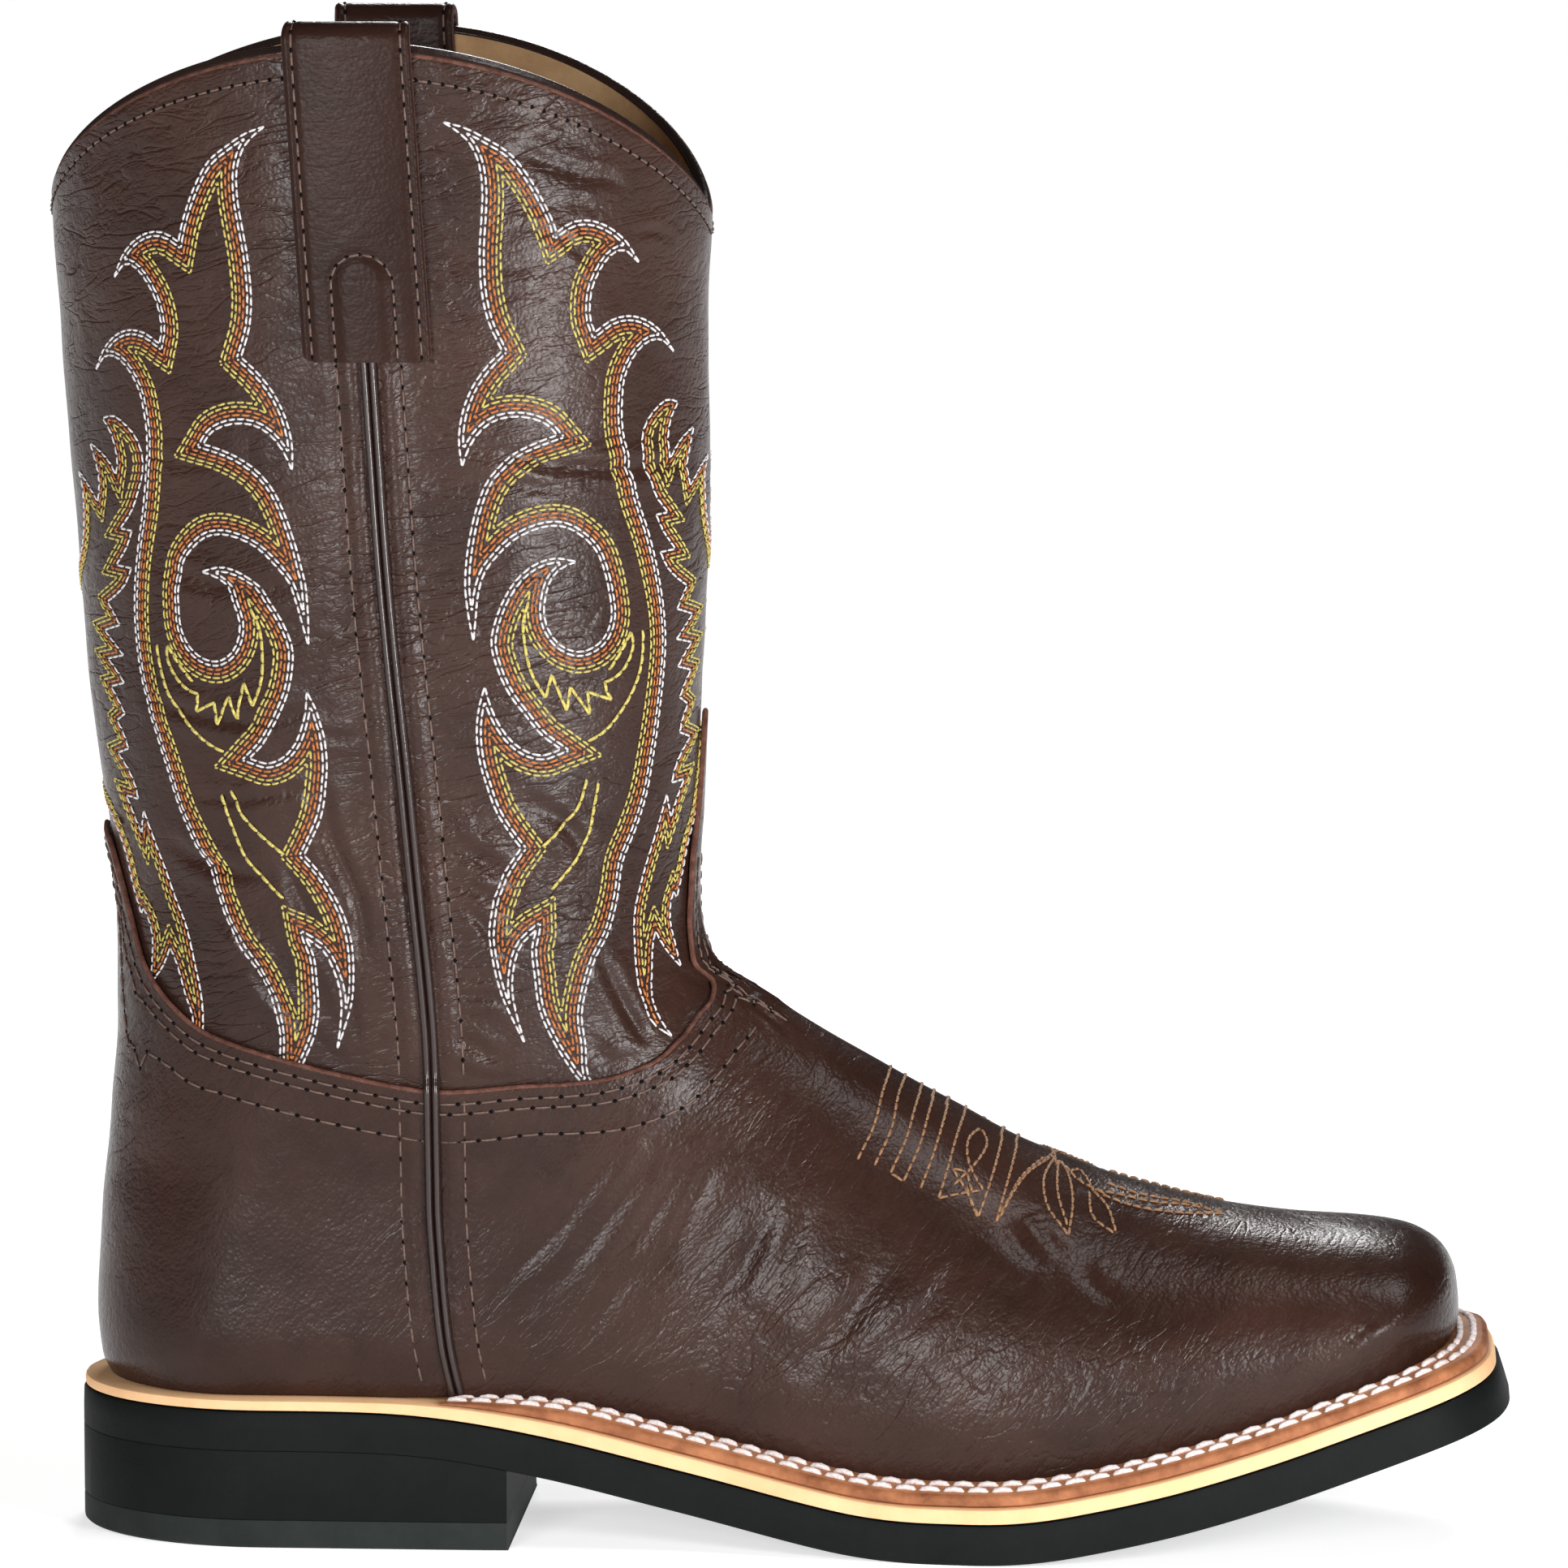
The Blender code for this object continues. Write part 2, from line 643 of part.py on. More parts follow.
def strap_foot():
    """Return the height of the outer lower edge of the pull straps."""
    return collar_peak() - STRAP_DROP


def build_strap(name, side):
    """Make a pull strap: up the outside of the shaft, over the collar and down the inside."""
    bead = 2 * GAP + SHAFT_WALL
    crown = collar_peak() + bead
    arch = SHAFT_WALL / 2 + GAP
    bend = np.linspace(0, np.pi, 9)
    across = np.linspace(-0.5, 0.5, 5) * STRAP_WIDTH
    rise = np.linspace(strap_foot(), crown, 10)[:-1]
    fall = np.linspace(crown, crown - STRAP_TAIL, 6)[1:]
    grids = []
    for reach in (arch + STRAP_THICKNESS, arch):
        out = -SHAFT_WALL / 2 + reach * np.concatenate([np.ones(9), np.cos(bend), -np.ones(5)])
        z = np.concatenate([rise, crown + reach * np.sin(bend), fall])
        x = seam_x(z)[:, None] + across
        grids.append(on_side(x, np.broadcast_to(z[:, None], x.shape), side, np.broadcast_to(out[:, None], x.shape)))
    loft(name, grids[0], grids[1], False, (0.055, 0.032, 0.024), 0.45)


def build_piping(name, side):
    """Make the narrow welt of the side seam, from the sole up to the pull strap."""
    turn = np.linspace(0.3, 0.7, 60)
    line_x, line_z = side_view(turn, top_line(turn))
    foot_z = feather_height(seam_x(HEEL_TOP)) + 0.002
    edge = float(np.interp(seam_x(line_z.mean()), line_x, line_z))
    lower = np.linspace(foot_z, edge + 0.0012, PIPING_ROWS)
    upper = np.linspace(edge + 0.005, strap_foot() - GAP, PIPING_ROWS)
    z = np.append(lower, upper)
    base = GAP + np.append(np.full(PIPING_ROWS, UPPER_PROUD), np.zeros(PIPING_ROWS))
    across = np.array([-0.5, 0.0, 0.5]) * PIPING_WIDTH
    x = seam_x(z)[:, None] + across
    height = np.broadcast_to(z[:, None], x.shape)
    crown = PIPING_THICKNESS * np.array([0.45, 1.0, 0.45])
    outer = on_side(x, height, side, base[:, None] + crown)
    inner = on_side(x, height, side, base[:, None] + 0 * crown)
    loft(name, outer, inner, False, (0.03, 0.017, 0.014), 0.4)


for old in list(bpy.data.objects):
    bpy.data.objects.remove(old, do_unlink=True)
boot = bpy.data.collections.new("western_boot")
bpy.context.scene.collection.children.link(boot)

build_sole()
build_upper_and_shaft()
build_insole()
build_binding()
for side_index, side_name in enumerate(("lateral", "medial")):
    build_strap("pull_strap_" + side_name, side_index)
    build_piping("side_piping_" + side_name, side_index)
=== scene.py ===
"""Looks of the right western boot: leather, lining, stitching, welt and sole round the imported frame.

Lengths are in metres. In every function x runs from the back of the heel to the toe, z is up and the lateral
side faces -y. A finished mesh is moved so that the frame's origin lies under the middle of the heel.
"""

import math

import bpy
import numpy as np
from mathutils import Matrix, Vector


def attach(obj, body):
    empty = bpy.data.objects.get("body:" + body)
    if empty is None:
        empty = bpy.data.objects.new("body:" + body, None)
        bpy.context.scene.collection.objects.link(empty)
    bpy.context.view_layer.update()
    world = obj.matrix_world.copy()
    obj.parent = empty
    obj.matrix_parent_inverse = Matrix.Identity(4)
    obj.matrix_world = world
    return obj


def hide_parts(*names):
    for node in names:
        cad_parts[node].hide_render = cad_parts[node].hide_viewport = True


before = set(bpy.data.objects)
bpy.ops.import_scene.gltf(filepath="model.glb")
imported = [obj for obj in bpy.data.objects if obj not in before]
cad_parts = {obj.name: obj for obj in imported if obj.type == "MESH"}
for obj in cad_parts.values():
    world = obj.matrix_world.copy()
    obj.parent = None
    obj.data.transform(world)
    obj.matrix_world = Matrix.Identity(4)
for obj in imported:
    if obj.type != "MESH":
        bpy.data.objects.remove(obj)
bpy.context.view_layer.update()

# Driving dimensions of the sole
SOLE_LENGTH = 0.308
BALL_WIDTH = 0.0975
HEEL_WIDTH = 0.0755
HEEL_LENGTH = 0.095
HEEL_HEIGHT = 0.0209
TOP_LIFT_THICKNESS = 0.0057
TOE_SPRING = 0.0298
OUTSOLE_THICKNESS = 0.0083
MIDSOLE_THICKNESS = 0.0034
HEEL_SEAT_THICKNESS = 0.0024
WELT_THICKNESS = 0.0034
WELT_WIDTH = 0.0085
HEEL_MARGIN = 0.005
HEEL_ROUNDING = 0.042
TOE_ROUNDING = 0.030
BOTTOM_ROUNDING = 0.010

# Driving dimensions of the foot upper and the shaft
INSTEP_HEIGHT = 0.093
SHAFT_HEIGHT = 0.2845
SHAFT_LENGTH = 0.141
SHAFT_WIDTH = 0.100
SCALLOP_RISE = 0.035
UPPER_BULGE = 0.0025
BULGE_HEIGHT = 0.014
UPPER_PROUD = 0.0016
LINING_THICKNESS = 0.0009
SHAFT_WALL = 0.0022
RIDGE_OFFSET = 0.004

# Driving dimensions of the trim
PIPING_WIDTH = 0.0036
STRAP_WIDTH = 0.0265
STRAP_THICKNESS = 0.0024
STRAP_DROP = 0.064
STRAP_TAIL = 0.034

# Clearance between two pieces that touch
GAP = 0.0003

# Leather of the shaft without its lining, and the radius in which a pull strap folds over the collar
LEATHER_WALL = 0.0014
STRAP_REACH = SHAFT_WALL / 2 + GAP + STRAP_THICKNESS / 2

# Share of the sole's length at which the axis of the shaft stands
LEG_AXIS = 0.2143

# Height of the collar's front as a share of its back
FRONT_COLLAR_SHARE = 0.9895

# Power of the sine that shapes the scalloped collar, with its dips at front and back
SCALLOP_POWER = 1.25

# Share of the shaft's height that the lapped seam of foot and shaft takes
LAP_SHARE = 0.042

# Highest share that the shaft's lower edge reaches, behind the tongue of the foot upper
LAP_TOP = 0.455

# Share below the shaft's lower edge from which the upper's inner face stands clear of it
CLEAR_SHARE = 0.014

# Share of the height over which the sole's spring fades out of the upper, and the shares between which the
# scallop rises
SAG_SHARE = 0.4
SCALLOP_LOW = 0.55
SCALLOP_HIGH = 1.25


def table(columns, *rows):
    """Return the rows of a table as one array for each named column."""
    return dict(zip(columns.split(), np.array(rows, dtype=float).T))


# Bottom of the outsole: x in sole lengths, height in heel heights plus toe springs
BOTTOM = table(
    "x heel spring",
    (0.000, 1.000, 0.000),
    (0.195, 1.000, 0.000),
    (0.244, 0.972, 0.000),
    (0.276, 0.915, 0.000),
    (0.308, 0.828, 0.000),
    (0.350, 0.695, 0.000),
    (0.422, 0.430, 0.000),
    (0.477, 0.250, 0.000),
    (0.534, 0.075, 0.000),
    (0.570, 0.000, 0.000),
    (0.655, 0.000, 0.000),
    (0.701, 0.000, 0.070),
    (0.756, 0.000, 0.188),
    (0.812, 0.000, 0.342),
    (0.867, 0.000, 0.525),
    (0.922, 0.000, 0.735),
    (0.960, 0.000, 0.875),
    (1.000, 0.000, 1.000),
)

# Half-widths of the sole before its ends are rounded: shares of the heel's half-width and the ball's width
OUTLINE = table(
    "x heel_lateral heel_medial ball_lateral ball_medial",
    (0.00, 0.98, 0.98, 0.000, 0.000),
    (0.15, 0.98, 0.97, 0.000, 0.000),
    (0.28, 0.98, 0.95, 0.000, 0.000),
    (0.36, 0.00, 0.00, 0.371, 0.350),
    (0.42, 0.00, 0.00, 0.373, 0.345),
    (0.52, 0.00, 0.00, 0.426, 0.402),
    (0.62, 0.00, 0.00, 0.474, 0.480),
    (0.68, 0.00, 0.00, 0.487, 0.509),
    (0.76, 0.00, 0.00, 0.478, 0.508),
    (0.84, 0.00, 0.00, 0.449, 0.479),
    (0.91, 0.00, 0.00, 0.426, 0.450),
    (1.00, 0.00, 0.00, 0.410, 0.430),
)

# Back of the boot: z share of the height from sole to collar, x in sole lengths less shaft lengths
BACK = table(
    "z sole shaft",
    (0.000, 0.0250, 0.000),
    (0.016, 0.0190, 0.000),
    (0.060, 0.0165, 0.000),
    (0.143, 0.0185, 0.000),
    (0.230, 0.0260, 0.000),
    (0.313, 0.0325, 0.000),
    (0.396, 0.0310, 0.000),
    (0.479, LEG_AXIS, 0.4220),
    (0.563, LEG_AXIS, 0.4410),
    (0.729, LEG_AXIS, 0.4695),
    (0.895, LEG_AXIS, 0.4857),
    (1.000, LEG_AXIS, 0.5000),
    (1.180, LEG_AXIS, 0.5060),
)

# Front of the foot from the toe to the instep: x in sole lengths, rise over the sole in instep heights
RIDGE = table(
    "x rise",
    (0.951, 0.000),
    (0.9585, 0.055),
    (0.9565, 0.125),
    (0.9480, 0.190),
    (0.9250, 0.257),
    (0.8900, 0.316),
    (0.8380, 0.392),
    (0.7820, 0.477),
    (0.7240, 0.572),
    (0.6660, 0.683),
    (0.6080, 0.796),
    (0.5230, 0.921),
    (0.4670, 1.000),
)

# Front of the shaft: z share of the height from instep to collar, x in shaft lengths ahead of the axis
SHIN = table(
    "z shaft",
    (0.041, 0.491),
    (0.109, 0.472),
    (0.175, 0.470),
    (0.235, 0.475),
    (0.361, 0.482),
    (0.487, 0.490),
    (0.613, 0.494),
    (0.865, 0.494),
    (1.000, 0.500),
    (1.260, 0.505),
)

# Rounding of the front outline: share of its length, radius in instep heights and shaft lengths, power
FRONT_ROUNDING = table(
    "along instep shaft power",
    (0.00, 0.25, 0.000, 2.70),
    (0.06, 0.27, 0.000, 2.70),
    (0.12, 0.33, 0.000, 2.55),
    (0.22, 0.50, 0.000, 2.30),
    (0.34, 0.68, 0.000, 2.10),
    (0.46, 0.78, 0.000, 2.00),
    (0.56, 0.00, 0.460, 2.00),
    (0.70, 0.00, 0.470, 2.00),
    (1.00, 0.00, 0.495, 2.00),
)

# Shaft sections: z share of the height from sole to collar, half-width in shaft widths, rounding of the back
# in shaft lengths
LEG = table(
    "z width rounding",
    (0.00, 0.345, 0.21),
    (0.11, 0.350, 0.24),
    (0.27, 0.378, 0.34),
    (0.40, 0.408, 0.41),
    (0.59, 0.447, 0.47),
    (0.79, 0.477, 0.49),
    (1.00, 0.496, 0.50),
    (1.15, 0.506, 0.50),
)

# Top edge of the foot upper: share of the half turn from back to front, share of the way from sole to collar
TOP_LINE = table(
    "turn share",
    (0.00, 0.470),
    (0.06, 0.460),
    (0.10, 0.405),
    (0.13, 0.364),
    (0.17, 0.338),
    (0.22, 0.319),
    (0.30, 0.310),
    (0.39, 0.303),
    (0.48, 0.326),
    (0.54, 0.343),
    (0.60, 0.372),
    (0.66, 0.412),
    (0.73, 0.455),
    (0.80, 0.487),
    (0.88, 0.525),
    (0.94, 0.580),
    (1.00, 0.700),
)

# Side seam: z share of the height from sole to collar, x in sole lengths
SIDE_SEAM = table(
    "z x",
    (0.000, 0.2730),
    (0.051, 0.2649),
    (0.109, 0.2604),
    (0.168, 0.2578),
    (0.257, 0.2575),
    (0.301, 0.2568),
    (0.346, 0.2547),
    (0.436, 0.2483),
    (0.540, 0.2412),
    (0.627, 0.2346),
    (0.713, 0.2289),
    (0.799, 0.2246),
    (0.879, 0.2208),
    (1.150, 0.2075),
)


def follow(at, stations, values):
    """Read a smooth curve through a table's column, with no overshoot between its rows."""
    run = np.diff(stations)
    slope = np.diff(values) / run
    before, after = slope[:-1], slope[1:]
    turning = before * after <= 0
    mean = 2 * before * after / np.where(turning, 1, before + after)
    tangent = np.concatenate([slope[:1], np.where(turning, 0, mean), slope[-1:]])
    at = np.asarray(at, dtype=float)
    row = np.clip(np.searchsorted(stations, at) - 1, 0, len(run) - 1)
    share = (at - stations[row]) / run[row]
    inside = np.clip(share, 0, 1)
    square, cube = inside**2, inside**3
    value = (
        (2 * cube - 3 * square + 1) * values[row]
        + (cube - 2 * square + inside) * run[row] * tangent[row]
        + (3 * square - 2 * cube) * values[row + 1]
        + (cube - square) * run[row] * tangent[row + 1]
    )
    beyond = (share - inside) * run[row]
    return value + beyond * np.where(share > 1, tangent[row + 1], tangent[row])


def ramp(value, low, high):
    """Rise smoothly from 0 at low to 1 at high."""
    share = np.clip((np.asarray(value, dtype=float) - low) / (high - low), 0, 1)
    return share * share * (3 - 2 * share)


def rounded(distance, radius, power):
    """Return 0 on an edge and 1 from a rounding radius on, along a superellipse."""
    share = np.clip(distance / radius, 0, 1)
    return (1 - (1 - share) ** power) ** (1 / power)


def bell(distance, width):
    """Return 1 at a distance of 0, falling smoothly to 0 within about two widths."""
    return np.exp(-((distance / width) ** 2))


def unit(vectors):
    """Scale vectors to length 1."""
    return vectors / np.linalg.norm(vectors, axis=-1, keepdims=True)


def arc_length(points):
    """Return the length of a line of points from its start to each of them."""
    return np.concatenate([[0], np.cumsum(np.linalg.norm(np.diff(points, axis=0), axis=1))])


def places_along(place, arc, values):
    """Return a line's values, such as its points or normals, at places along its length."""
    return np.stack([np.interp(place, arc, column) for column in values.T], axis=1)


def bottom_curve():
    """Return places along the sole and the heights of its bottom there, its bends rounded off."""
    place = np.linspace(-0.2, 1.2, 1401) * SOLE_LENGTH
    height = 0 * place
    for shift in np.linspace(-BOTTOM_ROUNDING, BOTTOM_ROUNDING, 9):
        share = (place + shift) / SOLE_LENGTH
        height += follow(share, BOTTOM["x"], BOTTOM["heel"]) * HEEL_HEIGHT / 9
        height += follow(share, BOTTOM["x"], BOTTOM["spring"]) * TOE_SPRING / 9
    return place, height


BOTTOM_CURVE = bottom_curve()


def bottom_height(x):
    """Return the height of the outsole's bottom at x."""
    return np.interp(x, *BOTTOM_CURVE)


def layer_point(x, height):
    """Return x and z of a point at a height over the outsole's bottom, square to that bottom."""
    step = 0.001
    slope = (bottom_height(x + step) - bottom_height(x - step)) / (2 * step)
    tilt = np.arctan(slope) * ramp(x, HEEL_LENGTH * 0.8, HEEL_LENGTH * 1.05)
    return x - height * np.sin(tilt), bottom_height(x) + height * np.cos(tilt)


def welt_share(x):
    """Return how much of the welt's thickness there is at x: it tapers out beside the heel."""
    return ramp(x, HEEL_LENGTH * 0.72, HEEL_LENGTH * 1.15)


def midsole_thickness(x):
    """Return the midsole's thickness, which is less under the heel seat."""
    share = ramp(x, HEEL_LENGTH * 0.6, HEEL_LENGTH * 1.15)
    return HEEL_SEAT_THICKNESS + share * (MIDSOLE_THICKNESS - HEEL_SEAT_THICKNESS)


def midsole_top(x):
    """Return the height of the midsole's top over the outsole's bottom."""
    return OUTSOLE_THICKNESS + GAP + midsole_thickness(x)


def welt_top(x):
    """Return the height of the welt's top over the outsole's bottom."""
    return midsole_top(x) + welt_share(x) * (GAP + WELT_THICKNESS)


def feather_curve():
    """Return places along the sole and the heights there of the line on which the upper stands."""
    along = np.linspace(-0.05, 1.05, 1101) * SOLE_LENGTH
    return layer_point(along, welt_top(along) + 2 * GAP)


FEATHER_CURVE = feather_curve()


def feather_height(x):
    """Return the height at x of the line on which the upper stands."""
    return np.interp(x, *FEATHER_CURVE)


def outline_column(side):
    """Return the outline's half-widths in metres for one side, a value for each row."""
    return OUTLINE["heel_" + side] * HEEL_WIDTH / 2 + OUTLINE["ball_" + side] * BALL_WIDTH


def body_half_width(x, side):
    """Return the sole's half-width on one side at x, without the rounding of its ends."""
    return follow(np.clip(x / SOLE_LENGTH, 0, 1), OUTLINE["x"], outline_column(side))


def sole_outline(stations, inset):
    """Return x, lateral y and medial y of the sole's outline, drawn in by an inset."""
    x = inset + stations * (SOLE_LENGTH - 2 * inset)
    ends = rounded(x - inset, HEEL_ROUNDING, 2.0) * rounded(SOLE_LENGTH - inset - x, TOE_ROUNDING, 3.0)
    lateral = (body_half_width(x, "lateral") - inset) * ends
    medial = (body_half_width(x, "medial") - inset) * ends
    return x, -lateral, medial


def curve_through(points, count=260):
    """Return evenly spaced points on a smooth curve through a few side-view points."""
    chord = arc_length(points)
    along = np.linspace(0, chord[-1], count)
    return np.stack([follow(along, chord, points[:, axis]) for axis in (0, 1)], axis=1)


def back_point(share):
    """Return x and z of the boot's back at a share of the height from sole to collar."""
    x = follow(share, BACK["z"], BACK["sole"] * SOLE_LENGTH - BACK["shaft"] * SHAFT_LENGTH)
    return x, HEEL_TOP + share * (SHAFT_HEIGHT - HEEL_TOP)


def front_rows():
    """Return the side-view points of the boot's front, from the toe to above the collar."""
    foot_x = RIDGE["x"] * SOLE_LENGTH
    foot_z = feather_height(foot_x) + RIDGE["rise"] * INSTEP_HEIGHT
    shin_x = LEG_AXIS * SOLE_LENGTH + SHIN["shaft"] * SHAFT_LENGTH
    shin_z = foot_z[-1] + SHIN["z"] * (SHAFT_HEIGHT * FRONT_COLLAR_SHARE - foot_z[-1])
    return np.stack([np.append(foot_x, shin_x), np.append(foot_z, shin_z)], axis=1)


# Side-view lines that the whole upper is built from
HEEL_TOP = float(feather_height(np.array(BACK["sole"][0] * SOLE_LENGTH)))
BACK_LINE = np.stack(back_point(np.linspace(0, BACK["z"][-1], 260)), axis=1)
FRONT_REACH = curve_through(front_rows())
FRONT_LINE = FRONT_REACH[: 1 + np.searchsorted(FRONT_REACH[:, 1], SHAFT_HEIGHT * FRONT_COLLAR_SHARE)]
FRONT_SHARE = len(FRONT_LINE) / len(FRONT_REACH)


def distance_to(x, z, line):
    """Return the distance from side-view points to a line, and the share along it of the nearest point."""
    reach = 8
    start, run = line[:-1], np.diff(line, axis=0)
    square = (run**2).sum(-1)
    posts = line[::reach]
    spots = np.stack([np.ravel(x), np.ravel(z)], axis=-1)
    away, along = [], []
    for block in np.array_split(spots, 1 + len(spots) // 4000):
        post = ((block[:, None] - posts) ** 2).sum(-1).argmin(-1) * reach
        places = np.clip(post, reach, len(run) - reach)[:, None] + np.arange(-reach, reach)
        offset, way = block[:, None] - start[places], run[places]
        share = np.clip((offset * way).sum(-1) / square[places], 0, 1)
        gap = ((offset - share[..., None] * way) ** 2).sum(-1)
        nearest = gap.argmin(-1)[:, None]
        away.append(np.sqrt(np.take_along_axis(gap, nearest, -1)[:, 0]))
        along.append(np.take_along_axis(places + share, nearest, -1)[:, 0] / len(run))
    return np.concatenate(away).reshape(np.shape(x)), np.concatenate(along).reshape(np.shape(x))


def skin_sides(x, z):
    """Return y of the skin's lateral and medial sides at side-view points.

    The skin is the outer face of the shaft, and in the foot it lies between lining and upper.
    """
    level = (z - HEEL_TOP) / (SHAFT_HEIGHT - HEEL_TOP)
    back_away, _ = distance_to(x, z, BACK_LINE)
    front_away, along = distance_to(x, z, FRONT_REACH)
    along = np.clip(along / FRONT_SHARE, 0, 1)
    back_radius = follow(level, LEG["z"], LEG["rounding"]) * SHAFT_LENGTH
    front_radius = (
        follow(along, FRONT_ROUNDING["along"], FRONT_ROUNDING["instep"]) * INSTEP_HEIGHT
        + follow(along, FRONT_ROUNDING["along"], FRONT_ROUNDING["shaft"]) * SHAFT_LENGTH
    )
    power = follow(along, FRONT_ROUNDING["along"], FRONT_ROUNDING["power"])
    fullness = rounded(back_away, back_radius, 2.0) * rounded(front_away, front_radius, power)
    in_shaft = ramp(level, 0.09, 0.39)
    margin = HEEL_MARGIN + ramp(x, HEEL_LENGTH * 0.7, HEEL_LENGTH * 1.6) * (WELT_WIDTH - HEEL_MARGIN)
    tuck = UPPER_BULGE * (1 - np.clip((z - feather_height(x)) / BULGE_HEIGHT, 0, 1)) ** 2
    shaft = follow(level, LEG["z"], LEG["width"]) * SHAFT_WIDTH
    from_waist = ramp(x, SOLE_LENGTH * 0.35, SOLE_LENGTH * 0.5)
    on_foot = from_waist * (1 - ramp(x, SOLE_LENGTH * 0.7, SOLE_LENGTH * 0.95))
    centre = RIDGE_OFFSET * (1 - in_shaft) * on_foot * (1 - fullness)
    sides = []
    for side, sign in (("lateral", -1), ("medial", 1)):
        foot = body_half_width(x, side) - margin - UPPER_PROUD + UPPER_BULGE
        half = foot + in_shaft * (shaft - foot) - tuck
        sides.append(centre + sign * half * fullness)
    return sides


def side_view(turn, share):
    """Return x and z in the side view: turn runs from back to front, share from sole to collar."""
    across = (1 - np.cos(np.pi * turn)) / 2
    back_x, back_z = back_point(share)
    place = share * (len(FRONT_LINE) - 1)
    front_x = np.interp(place, np.arange(len(FRONT_LINE)), FRONT_LINE[:, 0])
    front_z = np.interp(place, np.arange(len(FRONT_LINE)), FRONT_LINE[:, 1])
    heel, toe = BACK_LINE[0], FRONT_LINE[0]
    low = heel + across[..., None] * (toe - heel)
    sag = feather_height(low[..., 0]) - low[..., 1]
    scallop = SCALLOP_RISE * np.sin(np.pi * turn) ** SCALLOP_POWER
    x = back_x + (front_x - back_x) * across
    z = back_z + (front_z - back_z) * across
    fade = np.clip(1 - share / SAG_SHARE, 0, 1) ** 2
    rise = scallop * ramp(share, SCALLOP_LOW, SCALLOP_HIGH) / ramp(1, SCALLOP_LOW, SCALLOP_HIGH)
    return x, z + sag * fade + rise


def skin(turn, share):
    """Return points of the skin: turn 0 to 1 is the lateral side from back to front, 1 to 2 the medial."""
    turn = np.mod(turn, 2)
    folded = 1 - np.abs(1 - turn)
    x, z = side_view(folded, share)
    lateral, medial = skin_sides(x, z)
    return np.stack([x, np.where(turn <= 1, lateral, medial), z], axis=-1)


def off_skin(turn, share, out):
    """Return points at a distance outward from the skin; those on its lower edge stay on the sole."""
    step = 0.004
    low, high = np.clip(share - step, 0, 1), np.clip(share + step, 0, 1)
    around = skin(turn + step, share) - skin(turn - step, share)
    normal = np.cross(around, skin(turn, high) - skin(turn, low))
    on_sole = share <= 0
    normal[..., 2] = np.where(on_sole, 0, normal[..., 2])
    points = skin(turn, share) + unit(normal) * np.asarray(out)[..., None]
    points[..., 2] = np.where(on_sole, feather_height(points[..., 0]), points[..., 2])
    return points


def on_side(x, z, side, out):
    """Return points off the lateral (0) or medial (1) skin at side-view places."""
    step = 0.0004
    sign = (-1, 1)[side]
    y = skin_sides(x, z)[side]
    slope_x = (skin_sides(x + step, z)[side] - skin_sides(x - step, z)[side]) / (2 * step)
    slope_z = (skin_sides(x, z + step)[side] - skin_sides(x, z - step)[side]) / (2 * step)
    normal = unit(np.stack([-slope_x, np.ones_like(y), -slope_z], axis=-1)) * sign
    return np.stack([x, y, z], axis=-1) + normal * np.asarray(out)[..., None]


def top_line(turn):
    """Return the share from sole to collar at which the foot upper ends."""
    return follow(1 - np.abs(1 - np.mod(turn, 2)), TOP_LINE["turn"], TOP_LINE["share"])


def seam_x(z):
    """Return x of the side seam at a height."""
    return follow((z - HEEL_TOP) / (SHAFT_HEIGHT - HEEL_TOP), SIDE_SEAM["z"], SIDE_SEAM["x"]) * SOLE_LENGTH


def collar_peak():
    """Return the collar's height at the side seam."""
    turn = np.linspace(0.3, 0.7, 60)
    x, z = side_view(turn, np.ones(turn.shape))
    return float(np.interp(seam_x(z.max()), x, z))


def upper_peak():
    """Return the height of the foot upper's top edge at the side seam."""
    turn = np.linspace(0.3, 0.7, 60)
    x, z = side_view(turn, top_line(turn))
    return float(np.interp(seam_x(z.mean()), x, z))


def seam_foot():
    """Return the height at which the side seam starts, on the sole."""
    return float(feather_height(seam_x(HEEL_TOP)))


def strap_foot():
    """Return the height of the outer lower edge of the pull straps."""
    return collar_peak() - STRAP_DROP


# Camera: the photograph is square, and its focus is the distance to the picture plane in its own pixels
PHOTO_SIZE = 1932
PHOTO_FOCUS = 11508
SENSOR = 36.0
CAMERA_DISTANCE = 2.0
CAMERA_AZIMUTH = math.radians(3.5)
CAMERA_ELEVATION = math.radians(7.0)
CAMERA_TARGET = np.array([0.1043, 0.0, 0.16028])

# Soft lights: name, place, size, power in watts
LIGHTS = (
    ("key", (-0.32, -1.50, 0.40), 0.45, 13.5),
    ("toe", (0.42, -0.42, 0.16), 0.15, 2.0),
    ("top", (0.50, -0.25, 1.05), 0.35, 2.6),
    ("back", (0.08, 1.10, 0.85), 0.40, 7.5),
)

# Floor's glow, which whitens it away from the boot: distances between which it grows, and its two strengths
GLOW_REACH = (0.4, 1.5)
GLOW_STRENGTH = (0.60, 0.97)

# Fineness of the leather meshes: columns round the boot, rows up its outside and up its inside
SKIN_COLUMNS = 440
OUTER_ROWS = 190
INNER_ROWS = 12
LINING_COLUMNS = 220
LINING_ROWS = 60
STRAP_ROWS = 140
STRAP_LANES = 45

# Rounded corners of the pull straps' ends, and the share of a half circle that spaces their lanes
STRAP_CORNER = 0.0022
LANE_BEND = 0.86

# Rings of one stitch: share of its length, size and lift
PLUMP_RINGS = (
    (0.00, 0.45, -0.35),
    (0.14, 0.88, 0.10),
    (0.50, 1.00, 0.30),
    (0.86, 0.88, 0.10),
    (1.00, 0.45, -0.35),
)
FINE_RINGS = (
    (0.00, 0.45, -0.35),
    (0.20, 0.95, 0.24),
    (0.80, 0.95, 0.24),
    (1.00, 0.45, -0.35),
)

